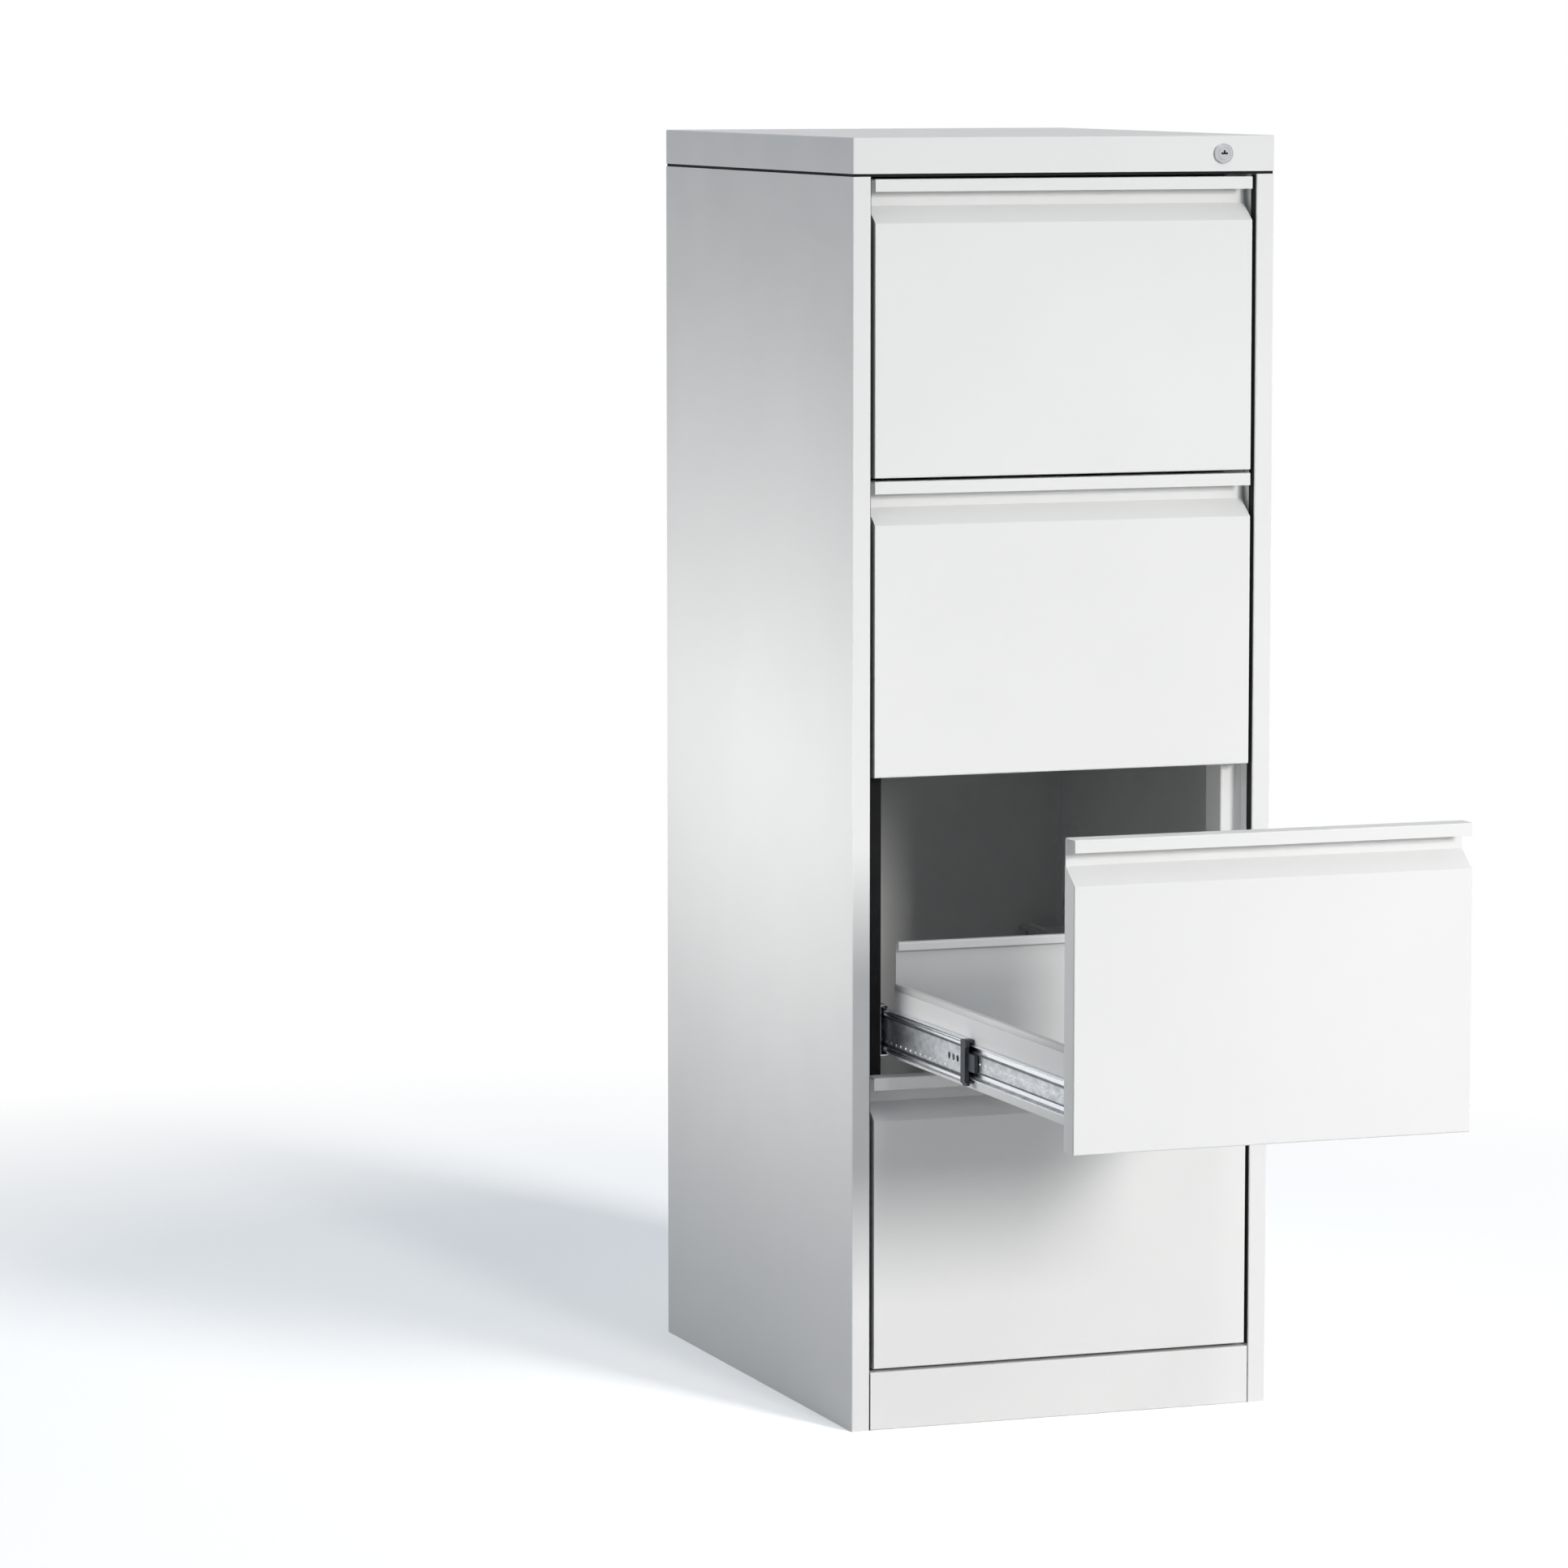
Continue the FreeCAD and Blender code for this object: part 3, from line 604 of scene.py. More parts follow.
def turned_plating(name, colour, ring_width, centre):
    """Bright plating with fine turning marks round the lock's axis."""
    material, tree, shader = blank_material(name)
    shader.inputs["Metallic"].default_value = 1.0
    place = tree.nodes.new("ShaderNodeTexCoord").outputs["Object"]
    mapping = tree.nodes.new("ShaderNodeMapping")
    mapping.inputs["Location"].default_value = [-value for value in centre]
    tree.links.new(place, mapping.inputs["Vector"])
    rings = tree.nodes.new("ShaderNodeTexWave")
    rings.wave_type = "RINGS"
    rings.rings_direction = "Y"
    rings.inputs["Scale"].default_value = 1.0 / (20.0 * ring_width)
    rings.inputs["Distortion"].default_value = 0.4
    rings.inputs["Detail"].default_value = 2.0
    tree.links.new(mapping.outputs["Vector"], rings.inputs["Vector"])
    marks = rings.outputs["Fac"]
    base = shades(tree, marks, scaled(colour, -0.08), scaled(colour, 0.06), (0.0, 1.0))
    tree.links.new(base, shader.inputs["Base Color"])
    tree.links.new(between(tree, marks, 0.14, 0.26, (0.0, 1.0)), shader.inputs["Roughness"])
    relief(tree, shader, marks, 0.00001, 0.3)
    return material


def rail_zinc(name, settings, pitch, middle, painted_bands):
    """Zinc on a rolled rail, by height: a rougher web and smoother ridges, with painted shade on
    the web and in the grooves and ball tracks, and painted highlight on the ridges.
    """
    material, tree, shader = blank_material(name)
    shader.inputs["Metallic"].default_value = 1.0
    colour = tuple(settings.zinc_colour)
    streaks = noise(tree, part_place(tree, (1.0, 0.03, 1.0)), 1.0 / settings.streak_width, 3.0, 0.6)
    clouds = noise(tree, part_place(tree, (1.0, 0.5, 1.0)), 150.0, 4.0, 0.65)
    # Lighter colour with rolling marks for the ridges: painted highlight.
    rolled = shades(tree, streaks, scaled(colour, 0.14), scaled(colour, 0.38))
    mottled = shades(tree, clouds, scaled(colour, -0.22), scaled(colour, 0.3), (0.35, 0.65))
    split = tree.nodes.new("ShaderNodeSeparateXYZ")
    tree.links.new(part_place(tree), split.inputs["Vector"])
    from_middle = tree.nodes.new("ShaderNodeMath")
    from_middle.operation = "SUBTRACT"
    tree.links.new(split.outputs["Z"], from_middle.inputs[0])
    from_middle.inputs[1].default_value = middle
    height = tree.nodes.new("ShaderNodeMath")
    height.operation = "PINGPONG"
    tree.links.new(from_middle.outputs["Value"], height.inputs[0])
    height.inputs[1].default_value = pitch / 2
    reach = painted_bands[-1][0]
    share = between(tree, height.outputs["Value"], 0.0, 1.0, (0.0, reach))
    # Tone by height from the painted table: painted shade on the web and in the grooves and ball
    # tracks, full tone on the ridges.
    painted_tones = tree.nodes.new("ShaderNodeValToRGB")
    while len(painted_tones.color_ramp.elements) < len(painted_bands):
        painted_tones.color_ramp.elements.new(0.5)
    for element, (place, tone) in zip(painted_tones.color_ramp.elements, painted_bands):
        element.position = place / reach
        element.color = (tone, tone, tone, 1.0)
    tree.links.new(share, painted_tones.inputs["Fac"])
    ridge_highlight = between(tree, painted_tones.outputs["Color"], 0.0, 1.0, (0.7, 1.0))
    surface = tree.nodes.new("ShaderNodeMix")
    surface.data_type = "RGBA"
    tree.links.new(ridge_highlight, surface.inputs["Factor"])
    tree.links.new(mottled, surface.inputs["A"])
    tree.links.new(rolled, surface.inputs["B"])
    # Darken the colour by the tone by height: painted shade.
    painted_shading = tree.nodes.new("ShaderNodeMix")
    painted_shading.data_type = "RGBA"
    painted_shading.blend_type = "MULTIPLY"
    painted_shading.inputs["Factor"].default_value = 1.0
    tree.links.new(surface.outputs["Result"], painted_shading.inputs["A"])
    tree.links.new(painted_tones.outputs["Color"], painted_shading.inputs["B"])
    tree.links.new(painted_shading.outputs["Result"], shader.inputs["Base Color"])
    tree.links.new(between(tree, ridge_highlight, 0.42, 0.2, (0.0, 1.0)), shader.inputs["Roughness"])
    under = relief(tree, shader, streaks, 0.00002, 0.5)
    relief(tree, shader, clouds, 0.00006, 0.4, under)
    return material


def foam_rubber(name, colour):
    """Black cellular rubber, matt, with fine pores."""
    material, tree, shader = blank_material(name)
    place = part_place(tree)
    pores = noise(tree, place, 1800.0, 3.0, 0.7)
    clouds = noise(tree, place, 70.0, 2.0)
    base = shades(tree, pores, scaled(colour, -0.4), scaled(colour, 0.5))
    tree.links.new(base, shader.inputs["Base Color"])
    tree.links.new(between(tree, clouds, 0.75, 0.9), shader.inputs["Roughness"])
    relief(tree, shader, pores, 0.00008, 0.8)
    shader.inputs["Specular IOR Level"].default_value = 0.2
    return material


def boxed(first_low, first_high, second_low, second_high):
    """Rectangular outline from its limits in two axes."""
    return [
        (first_low, second_low),
        (first_high, second_low),
        (first_high, second_high),
        (first_low, second_high),
    ]


def prism(outline, axis, start, end):
    """Closed prism: an outline in the other two axes, carried from start to end along one."""
    count = len(outline)
    corners = []
    for value in (start, end):
        for first, second in outline:
            corner = [first, second]
            corner.insert(axis, value)
            corners.append(tuple(corner))
    faces = [tuple(reversed(range(count))), tuple(range(count, 2 * count))]
    for index in range(count):
        following = (index + 1) % count
        faces.append((index, following, following + count, index + count))
    return corners, faces


def turned(profile, centre, axis, sides=16, closed=False):
    """Round form from pairs of radius and distance along an axis through the centre."""
    corners = []
    for radius, along in profile:
        for step in range(sides):
            angle = 2 * math.pi * step / sides
            corner = [radius * math.cos(angle), radius * math.sin(angle)]
            corner.insert(axis, along)
            corners.append(tuple(part + middle for part, middle in zip(corner, centre)))
    faces = []
    rounds = len(profile) if closed else len(profile) - 1
    for row in range(rounds):
        for step in range(sides):
            here = row * sides + step
            beside = row * sides + (step + 1) % sides
            above = (row + 1) % len(profile) * sides
            faces.append((here, beside, above + beside - row * sides, above + here - row * sides))
    if not closed:
        faces.append(tuple(reversed(range(sides))))
        faces.append(tuple(range(len(corners) - sides, len(corners))))
    return corners, faces


def mirrored(shape):
    """The same form on the cabinet's other side."""
    corners, faces = shape
    return [(-x, y, z) for x, y, z in corners], [tuple(reversed(face)) for face in faces]


def joined(shapes):
    """Several forms as one."""
    corners = []
    faces = []
    for more_corners, more_faces in shapes:
        faces += [tuple(index + len(corners) for index in face) for face in more_faces]
        corners += more_corners
    return corners, faces


def both_sides(shapes):
    """Forms of the left side with their mirror images, as one."""
    return joined(shapes + [mirrored(shape) for shape in shapes])


def band(outline, low, high):
    """Closed ring with mitred corners: an outline of inset and height round a rectangle."""
    places = (
        (low.x, low.y, 1, 1),
        (high.x, low.y, -1, 1),
        (high.x, high.y, -1, -1),
        (low.x, high.y, 1, -1),
    )
    count = len(outline)
    corners = [(x + a * inset, y + b * inset, z) for x, y, a, b in places for inset, z in outline]
    faces = []
    for corner in range(4):
        here = corner * count
        beside = (corner + 1) % 4 * count
        for index in range(count):
            following = (index + 1) % count
            faces.append((here + index, beside + index, beside + following, here + following))
    return corners, faces


def fitted(name, shape, body, material, smooth=False):
    """New piece that rides on a body and takes its finish from a slot."""
    corners, faces = shape
    mesh = bpy.data.meshes.new(name)
    mesh.from_pydata(corners, [], faces)
    work = bmesh.new()
    work.from_mesh(mesh)
    bmesh.ops.recalc_face_normals(work, faces=work.faces)
    for face in work.faces:
        face.smooth = smooth
    work.to_mesh(mesh)
    work.free()
    mesh.materials.append(material)
    piece = bpy.data.objects.new(name, mesh)
    bpy.context.scene.collection.objects.link(piece)
    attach(piece, body)
    return piece


def flat_ends(piece):
    """Keep the faces at both ends of a smooth piece flat."""
    for face in piece.data.polygons:
        face.use_smooth = len(face.vertices) == 4


def round_edges(piece, radius):
    """Small round on every sharp edge of a piece."""
    bevel = piece.modifiers.new("Edges", "BEVEL")
    bevel.width = radius
    bevel.segments = 2
    bevel.limit_method = "ANGLE"
    bevel.angle_limit = math.radians(40.0)


def dress(names, material):
    """Give CAD nodes a finish in place of their plain one."""
    for name in names:
        slots = NODES[name].data.materials
        slots.clear()
        slots.append(material)


def soften(names, radius):
    """Round the moulded edges of CAD nodes."""
    for name in names:
        round_edges(NODES[name], radius)


class CABINET_OT_paint_carcass(bpy.types.Operator):
    """Powder coat on the body, the cover and the sheets inside."""

    bl_idname = "cabinet.paint_carcass"
    bl_label = "Paint Carcass"

    def execute(self, context):
        settings = context.scene.cabinet_paint
        coat = powder_coat("light_grey_powder_coat", settings, tuple(settings.colour))
        dress(CARCASS_SHEETS, coat)
        return {"FINISHED"}


class CABINET_OT_paint_drawers(bpy.types.Operator):
    """Powder coat on the fronts and trays, and the rolled beads on the tray edges."""

    bl_idname = "cabinet.paint_drawers"
    bl_label = "Paint Drawers"

    def execute(self, context):
        settings = context.scene.cabinet_paint
        coat = powder_coat("drawer_powder_coat", settings, tuple(settings.colour))
        dress([f"drawer_{n}_{part}" for n in DRAWERS for part in DRAWER_SHEETS], coat)
        for n in DRAWERS:
            low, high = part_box(f"drawer_{n}_tray")
            top = high.z + BEAD_COVER
            outline = [(low.x, top)]
            for step in range(1, BEAD_STEPS):
                angle = math.pi * step / BEAD_STEPS
                out = BEAD_DEPTH * math.sin(angle)
                up = BEAD_HEIGHT / 2 * (1.0 - math.cos(angle))
                outline.append((low.x - out, top - up))
            outline += [
                (low.x, high.z - BEAD_HEIGHT),
                (low.x + BEAD_HOLD, high.z - BEAD_HEIGHT),
                (low.x + BEAD_HOLD, high.z),
            ]
            bead = prism(outline, 1, low.y + BEAD_SETBACK, high.y - BEAD_SETBACK)
            name = f"drawer_{n}_beads"
            shape = both_sides([bead])
            flat_ends(fitted(name, shape, f"drawer_{n}", coat, True))
        return {"FINISHED"}


class CABINET_OT_finish_slides(bpy.types.Operator):
    """Zinc on the rails, steel on the balls and cages, and the moulded ends."""

    bl_idname = "cabinet.finish_slides"
    bl_label = "Finish Slides"

    def execute(self, context):
        settings = context.scene.cabinet_slides
        zinc = zinc_plate("bright_zinc", tuple(settings.zinc_colour), settings.streak_width)
        dress(["cabinet_rails", "rail_screws"], zinc)
        dress(["lock_bar", "lock_cam", "lock_cam_screw", "lock_nut"], zinc)
        middle, pitch = slide_heights()
        middle_zinc = rail_zinc("middle_rail_zinc", settings, pitch, middle, MIDDLE_RAIL_PAINTED_LIGHT)
        dress([f"drawer_{n}_middle_rails" for n in DRAWERS], middle_zinc)
        drawer_zinc = rail_zinc("drawer_rail_zinc", settings, pitch, middle, DRAWER_RAIL_PAINTED_LIGHT)
        dress([f"drawer_{n}_slide_rails" for n in DRAWERS], drawer_zinc)
        steel = ball_steel("greased_steel", tuple(settings.ball_colour))
        cages = [f"drawer_{n}_{part}" for n in DRAWERS for part in ("inner_cages", "outer_cages")]
        dress(cages, steel)
        plastic = moulded_plastic("dark_moulding", tuple(settings.plastic_colour))
        ends = [f"drawer_{n}_{part}" for n in DRAWERS for part in ("rail_ends", "middle_ends")]
        dress(ends + ["lock_bar_guides"], plastic)
        soften(ends, settings.plastic_edge)
        return {"FINISHED"}


class CABINET_OT_stamp_rails(bpy.types.Operator):
    """Stamped dimples and rivets on the rails, and the moulded details of their ends."""

    bl_idname = "cabinet.stamp_rails"
    bl_label = "Stamp Rails"

    def execute(self, context):
        settings = context.scene.cabinet_slides
        middle_zinc = bpy.data.materials["middle_rail_zinc"]
        drawer_zinc = bpy.data.materials["drawer_rail_zinc"]
        plastic = bpy.data.materials["dark_moulding"]
        for n in DRAWERS:
            low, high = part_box(f"drawer_{n}_middle_rails")
            middle = (low.z + high.z) / 2
            web = low.x + MIDDLE_WEB_STEP
            start, end = low.y + STAMPING_START, high.y - STAMPING_END
            marks = dimples(settings, web, start, end, middle - TRACK_HEIGHT)
            for height in (-RIVET_HEIGHT, RIVET_HEIGHT):
                centre = (web, low.y + RIVET_SETBACK, middle + height)
                marks.append(dimple(centre, RIVET_RADIUS, 1.5 * settings.stamping_height))
            name = f"drawer_{n}_middle_stampings"
            fitted(name, both_sides(marks), f"drawer_{n}_middle", middle_zinc, True)
            low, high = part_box(f"drawer_{n}_slide_rails")
            web = low.x + DRAWER_WEB_STEP
            start, end = low.y + STAMPING_START, high.y - STAMPING_END
            marks = dimples(settings, web, start, end, middle)
            name = f"drawer_{n}_rail_stampings"
            fitted(name, both_sides(marks), f"drawer_{n}", drawer_zinc, True)
            low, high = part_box(f"drawer_{n}_middle_ends")
            details = end_details(low, middle)
            name = f"drawer_{n}_end_details"
            piece = fitted(name, both_sides(details), f"drawer_{n}_middle", plastic)
            round_edges(piece, settings.plastic_edge / 2)
        return {"FINISHED"}


class CABINET_OT_fit_rubber(bpy.types.Operator):
    """Foam under the cover, whose black is also painted shade in the gap there, black strips of
    painted shade in the gaps beside and below the fronts, and buffers behind them.
    """

    bl_idname = "cabinet.fit_rubber"
    bl_label = "Fit Rubber"

    def execute(self, context):
        settings = context.scene.cabinet_rubber
        rubber = foam_rubber("black_rubber_and_painted_shade", tuple(settings.colour))
        # Black foam ring under the cover; its black is also painted shade in the gap between the
        # cover and the body.
        low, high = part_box("top_cover")
        body_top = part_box("side_panel_left")[1].z
        outer = settings.foam_setback
        inner = outer + settings.foam_width
        outline = [(outer, body_top), (inner, body_top), (inner, low.z), (outer, low.z)]
        fitted("cover_foam_and_shade", band(outline, low, high), "cabinet", rubber)
        # Black strips of painted shade on the jambs beside the fronts, and on the left upright
        # behind the gap.
        low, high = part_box("side_panel_left")
        upright_low, upright_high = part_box("uprights")
        post_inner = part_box("drawer_1_front")[0].x - DRAWER_SIDE_GAP
        span = (upright_low.z + STRIP_SETBACK, upright_high.z)
        front, back = low.y + STRIP_SETBACK, low.y + JAMB_STRIP_WIDTH
        shade_strip = boxed(post_inner, post_inner + STRIP_SHEET, front, back)
        shape = both_sides([prism(shade_strip, 2, *span)])
        fitted("jamb_shade_strips", shape, "cabinet", rubber)
        shade_strip = boxed(post_inner, -UPRIGHT_REACH, upright_low.y - STRIP_SHEET, upright_low.y)
        fitted("upright_shade_sheet", prism(shade_strip, 2, *span), "cabinet", rubber)
        for n in DRAWERS:
            # Black strips of painted shade under each front, in the gap below it.
            low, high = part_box(f"drawer_{n}_front")
            across = (low.x + STRIP_SETBACK, -low.x - STRIP_SETBACK)
            front, back = low.y + FRONT_STRIP_SETBACK, low.y + FRONT_STRIP_END
            shape = prism(boxed(front, back, low.z - STRIP_SHEET, low.z), 0, *across)
            fitted(f"drawer_{n}_strip", shape, f"drawer_{n}", rubber)
            low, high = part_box(f"drawer_{n}_backing")
            buffers = []
            for z in (low.z + BUFFER_INSET, high.z - BUFFER_INSET):
                buffers.append(rubber_buffer(settings, (low.x + BUFFER_INSET, high.y, z)))
            name = f"drawer_{n}_buffers"
            fitted(name, both_sides(buffers), f"drawer_{n}", rubber, True)
        return {"FINISHED"}


class CABINET_OT_finish_lock(bpy.types.Operator):
    """Plating with turning marks on the lock, a black plate of painted shade deep in its keyway,
    and a ring of darker steel whose grey is also painted shade round its rim.
    """

    bl_idname = "cabinet.finish_lock"
    bl_label = "Finish Lock"

    def execute(self, context):
        settings = context.scene.cabinet_lock
        low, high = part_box("lock_housing")
        colour, centre = tuple(settings.colour), (low + high) / 2
        plating = turned_plating("turned_plating", colour, settings.ring_width, centre)
        dress(["lock_housing", "lock_plug"], plating)
        rubber = bpy.data.materials["black_rubber_and_painted_shade"]
        plug_low, plug_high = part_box("lock_plug")
        x, z = (low.x + high.x) / 2, (low.z + high.z) / 2
        outline = [(x + across, z + up) for across, up in KEYWAY]
        # Black plate of painted shade deep in the keyway, where the hole is dark.
        start = plug_low.y + KEYWAY_SHADE_SETBACK
        keyway_shade = prism(outline, 1, start, start + KEYWAY_SHADE_LENGTH)
        fitted("keyway_shade_plate", keyway_shade, "lock_core", rubber)
        # Thin ring of darker steel round the edge of the lock's face; its grey is also painted
        # shade round the lock's rim.
        steps = [2 * math.pi * step / 8 for step in range(8)]
        profile = [(RING_RADIUS + RING_WIRE * math.cos(a), RING_WIRE * math.sin(a)) for a in steps]
        ring = turned(profile, (x, low.y, z), 1, 32, True)
        steel = bpy.data.materials["greased_steel"]
        fitted("lock_ring_and_shade", ring, "cabinet", steel, True)
        return {"FINISHED"}


def slide_heights():
    """Height of the lowest slide's middle, and the distance from slide to slide."""
    low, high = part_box(f"drawer_{DRAWERS[-1]}_middle_rails")
    next_low, next_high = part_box(f"drawer_{DRAWERS[-2]}_middle_rails")
    return (low.z + high.z) / 2, next_low.z - low.z


def dimple(centre, radius, height):
    """Low dome on the left side of a left-hand rail, its foot inside the sheet."""
    profile = [
        (radius, 0.3 * height),
        (radius, 0.0),
        (0.8 * radius, -0.7 * height),
        (0.4 * radius, -height),
    ]
    return turned(profile, centre, 0, 12)


def dimples(settings, web, start, end, height):
    """Row of dimples along a left-hand rail."""
    count = int((end - start) / settings.stamping_pitch)
    places = [start + step * settings.stamping_pitch for step in range(count)]
    radius, rise = settings.stamping_radius, settings.stamping_height
    return [dimple((web, y, height), radius, rise) for y in places]


def end_details(low, middle):
    """Foot, nose and grip ribs of the left-hand plastic end of a middle rail."""
    plate_front = low.y + LEVER_REACH
    shapes = []
    for outline in (END_FOOT, END_NOSE):
        moved = [(plate_front + along, middle + up) for along, up in outline]
        shapes.append(prism(moved, 0, low.x + END_OUTER, low.x + END_INNER))
    face = low.x + LEVER_SETBACK
    for step in range(RIB_COUNT):
        start = low.y + RIB_START + step * RIB_PITCH
        rib = boxed(start, start + RIB_WIDTH, middle - RIB_HALF_LENGTH, middle + RIB_HALF_LENGTH)
        shapes.append(prism(rib, 0, face - RIB_RISE, face + RIB_HOLD))
    return shapes


def rubber_buffer(settings, centre):
    """Round buffer with a domed end, pressed onto the left rear of a front."""
    radius = settings.buffer_radius
    height = settings.buffer_height
    profile = [
        (radius, -BUFFER_HOLD),
        (radius, 0.6 * height),
        (0.85 * radius, 0.85 * height),
        (0.5 * radius, height),
    ]
    return turned(profile, centre, 1)


def aimed(name, lamp, place, target):
    """Put a lamp somewhere and point it at a target; the camera doesn't see it."""
    holder = bpy.data.objects.new(name, lamp)
    bpy.context.scene.collection.objects.link(holder)
    holder.location = place
    away = [there - here for here, there in zip(place, target)]
    turn = math.atan2(-away[0], away[1])
    flat = math.hypot(away[0], away[1])
    holder.rotation_euler = (math.pi / 2 + math.atan2(away[2], flat), 0.0, turn)
    holder.visible_camera = False
    return holder


def area_lamp(name, power):
    """Rectangular lamp at its place in the studio."""
    place, target, size, spread = LAMPS[name]
    lamp = bpy.data.lights.new(name, "AREA")
    lamp.shape = "RECTANGLE"
    lamp.size, lamp.size_y = size
    lamp.energy = power
    lamp.color = LAMP_COLOUR
    lamp.spread = math.radians(spread)
    return aimed(name, lamp, place, target)


def shown_directly(tree):
    """Value that is 1 for what the camera sees, also in mirrors and through glass."""
    path = tree.nodes.new("ShaderNodeLightPath")
    value = path.outputs["Is Camera Ray"]
    for ray in ("Is Glossy Ray", "Is Transmission Ray"):
        larger = tree.nodes.new("ShaderNodeMath")
        larger.operation = "MAXIMUM"
        tree.links.new(value, larger.inputs[0])
        tree.links.new(path.outputs[ray], larger.inputs[1])
        value = larger.outputs["Value"]
    return value


def studio_world(room_light):
    """Even light from all round, with a white background for the camera."""
    world = bpy.data.worlds.new("studio")
    world.use_nodes = True
    tree = world.node_tree
    tree.nodes.clear()
    around = tree.nodes.new("ShaderNodeBackground")
    around.inputs["Color"].default_value = (*ROOM_COLOUR, 1.0)
    around.inputs["Strength"].default_value = room_light
    seen = tree.nodes.new("ShaderNodeBackground")
    seen.inputs["Color"].default_value = (1.0, 1.0, 1.0, 1.0)
    seen.inputs["Strength"].default_value = 1.0
    mix = tree.nodes.new("ShaderNodeMixShader")
    tree.links.new(shown_directly(tree), mix.inputs["Fac"])
    tree.links.new(around.outputs["Background"], mix.inputs[1])
    tree.links.new(seen.outputs["Background"], mix.inputs[2])
    output = tree.nodes.new("ShaderNodeOutputWorld")
    tree.links.new(mix.outputs["Shader"], output.inputs["Surface"])
    bpy.context.scene.world = world


def pale_floor(reach):
    """Floor that shows white where the light is full and keeps the cabinet's shadow."""
    mesh = bpy.data.meshes.new("studio_floor")
    corners = [(x, y, 0.0) for x, y in boxed(-reach, reach, -reach, reach)]
    mesh.from_pydata(corners, [], [(0, 1, 2, 3)])
    floor = bpy.data.objects.new("studio_floor", mesh)
    bpy.context.scene.collection.objects.link(floor)
    material = bpy.data.materials.new("pale_floor")
    material.use_nodes = True
    tree = material.node_tree
    tree.nodes.clear()
    plain = tree.nodes.new("ShaderNodeBsdfDiffuse")
    plain.inputs["Color"].default_value = (FLOOR_BOUNCE, FLOOR_BOUNCE, FLOOR_BOUNCE, 1.0)
    lifted = tree.nodes.new("ShaderNodeBsdfDiffuse")
    lifted.inputs["Color"].default_value = (FLOOR_TONE, FLOOR_TONE, FLOOR_TONE, 1.0)
    double = tree.nodes.new("ShaderNodeAddShader")
    tree.links.new(lifted.outputs["BSDF"], double.inputs[0])
    tree.links.new(lifted.outputs["BSDF"], double.inputs[1])
    white = tree.nodes.new("ShaderNodeEmission")
    white.inputs["Strength"].default_value = 1.0
    length = tree.nodes.new("ShaderNodeVectorMath")
    length.operation = "DISTANCE"
    length.inputs[1].default_value = SHADOW_MIDDLE
    place = tree.nodes.new("ShaderNodeTexCoord").outputs["Object"]
    tree.links.new(place, length.inputs[0])
    far = between(tree, length.outputs["Value"], 0.0, 1.0, SHADOW_FADE)
    ground = tree.nodes.new("ShaderNodeMixShader")
    tree.links.new(far, ground.inputs["Fac"])
    tree.links.new(double.outputs["Shader"], ground.inputs[1])
    tree.links.new(white.outputs["Emission"], ground.inputs[2])
    mix = tree.nodes.new("ShaderNodeMixShader")
    tree.links.new(shown_directly(tree), mix.inputs["Fac"])
    tree.links.new(plain.outputs["BSDF"], mix.inputs[1])
    tree.links.new(ground.outputs["Shader"], mix.inputs[2])
    output = tree.nodes.new("ShaderNodeOutputMaterial")
    tree.links.new(mix.outputs["Shader"], output.inputs["Surface"])
    mesh.materials.append(material)


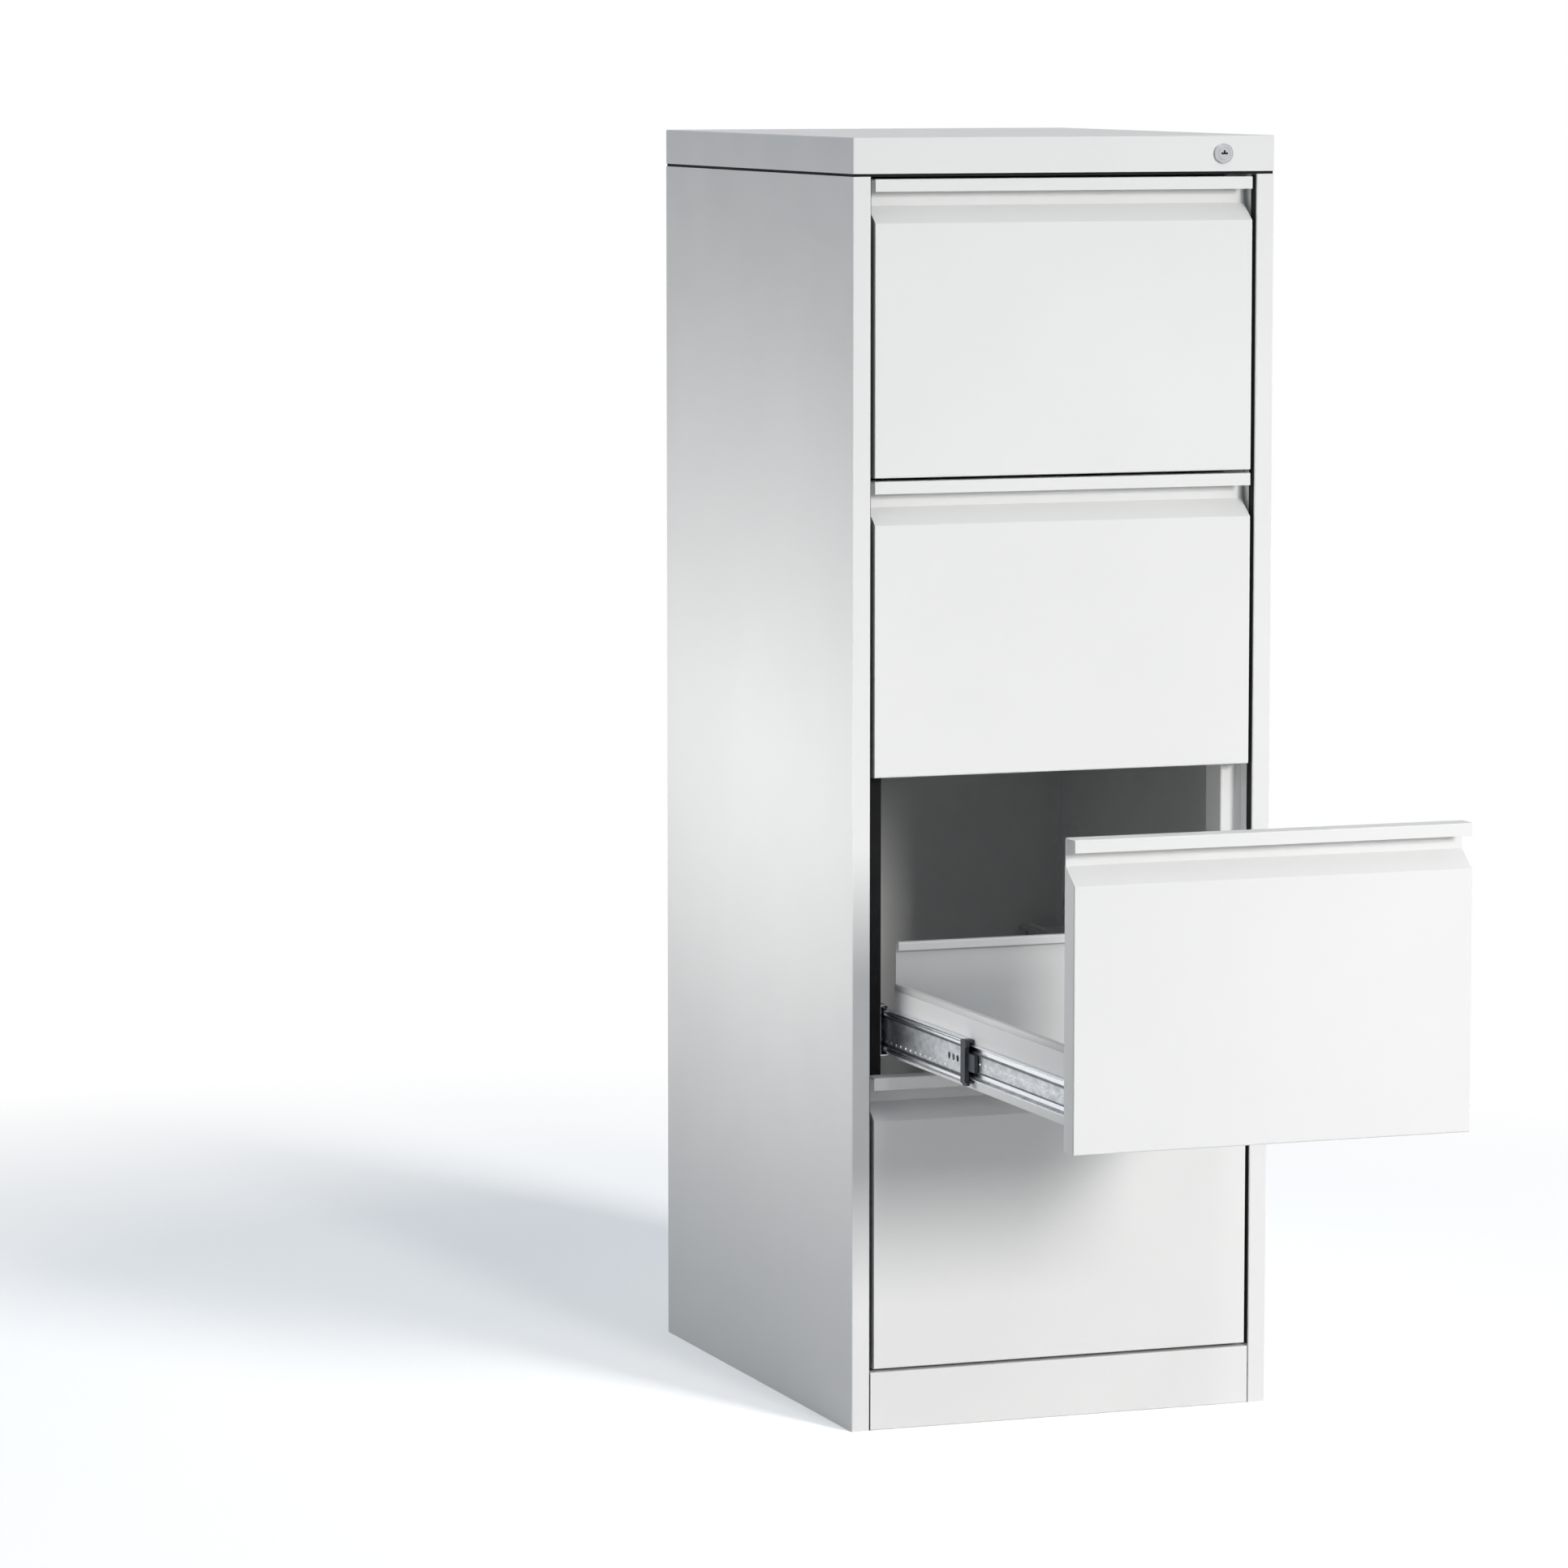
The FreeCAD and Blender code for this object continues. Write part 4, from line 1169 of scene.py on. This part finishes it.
class CABINET_OT_build_stage(bpy.types.Operator):
    """White floor, soft lamps and the camera."""

    bl_idname = "cabinet.build_stage"
    bl_label = "Build Stage"

    def execute(self, context):
        settings = context.scene.cabinet_stage
        scene = context.scene
        scene.view_settings.view_transform = "Standard"
        studio_world(settings.room_light)
        pale_floor(settings.floor_reach)
        area_lamp("key_lamp", settings.key_power)
        area_lamp("right_lamp", settings.right_power).visible_glossy = False
        area_lamp("side_lamp", settings.side_power)
        area_lamp("back_lamp", settings.back_power)
        camera = bpy.data.cameras.new("photo_camera")
        camera.lens = settings.lens
        camera.sensor_width = 36.0
        camera.clip_end = 500.0
        holder = bpy.data.objects.new("photo_camera", camera)
        scene.collection.objects.link(holder)
        holder.location = settings.camera_place
        holder.rotation_euler = (math.pi / 2 - settings.camera_tilt, 0.0, -settings.camera_turn)
        scene.camera = holder
        return {"FINISHED"}


class CABINET_PT_panel(bpy.types.Panel):
    """Steps that finish the cabinet."""

    bl_idname = "CABINET_PT_panel"
    bl_label = "Card Index Cabinet"
    bl_space_type = "VIEW_3D"
    bl_region_type = "UI"
    bl_category = "Cabinet"

    def draw(self, context):
        for name, operators in STEPS:
            box = self.layout.box()
            settings = getattr(context.scene, name)
            for key in settings.__annotations__:
                box.prop(settings, key)
            for operator in operators:
                box.operator(operator.bl_idname)


SETTINGS = {
    "cabinet_paint": PaintSettings,
    "cabinet_slides": SlideSettings,
    "cabinet_rubber": RubberSettings,
    "cabinet_lock": LockSettings,
    "cabinet_stage": StageSettings,
}
STEPS = (
    ("cabinet_paint", (CABINET_OT_paint_carcass, CABINET_OT_paint_drawers)),
    ("cabinet_slides", (CABINET_OT_finish_slides, CABINET_OT_stamp_rails)),
    ("cabinet_rubber", (CABINET_OT_fit_rubber,)),
    ("cabinet_lock", (CABINET_OT_finish_lock,)),
    ("cabinet_stage", (CABINET_OT_build_stage,)),
)
OPERATORS = [operator for _, operators in STEPS for operator in operators]


def register():
    for group in SETTINGS.values():
        bpy.utils.register_class(group)
    for operator in OPERATORS:
        bpy.utils.register_class(operator)
    bpy.utils.register_class(CABINET_PT_panel)
    for name, group in SETTINGS.items():
        setattr(bpy.types.Scene, name, bpy.props.PointerProperty(type=group))


def unregister():
    for name in SETTINGS:
        delattr(bpy.types.Scene, name)
    bpy.utils.unregister_class(CABINET_PT_panel)
    for operator in reversed(OPERATORS):
        bpy.utils.unregister_class(operator)
    for group in SETTINGS.values():
        bpy.utils.unregister_class(group)


def main():
    """Run every step in order."""
    register()
    bpy.ops.cabinet.paint_carcass()
    bpy.ops.cabinet.paint_drawers()
    bpy.ops.cabinet.finish_slides()
    bpy.ops.cabinet.stamp_rails()
    bpy.ops.cabinet.fit_rubber()
    bpy.ops.cabinet.finish_lock()
    bpy.ops.cabinet.build_stage()
    bpy.context.view_layer.update()


if __name__ == "__main__":
    main()
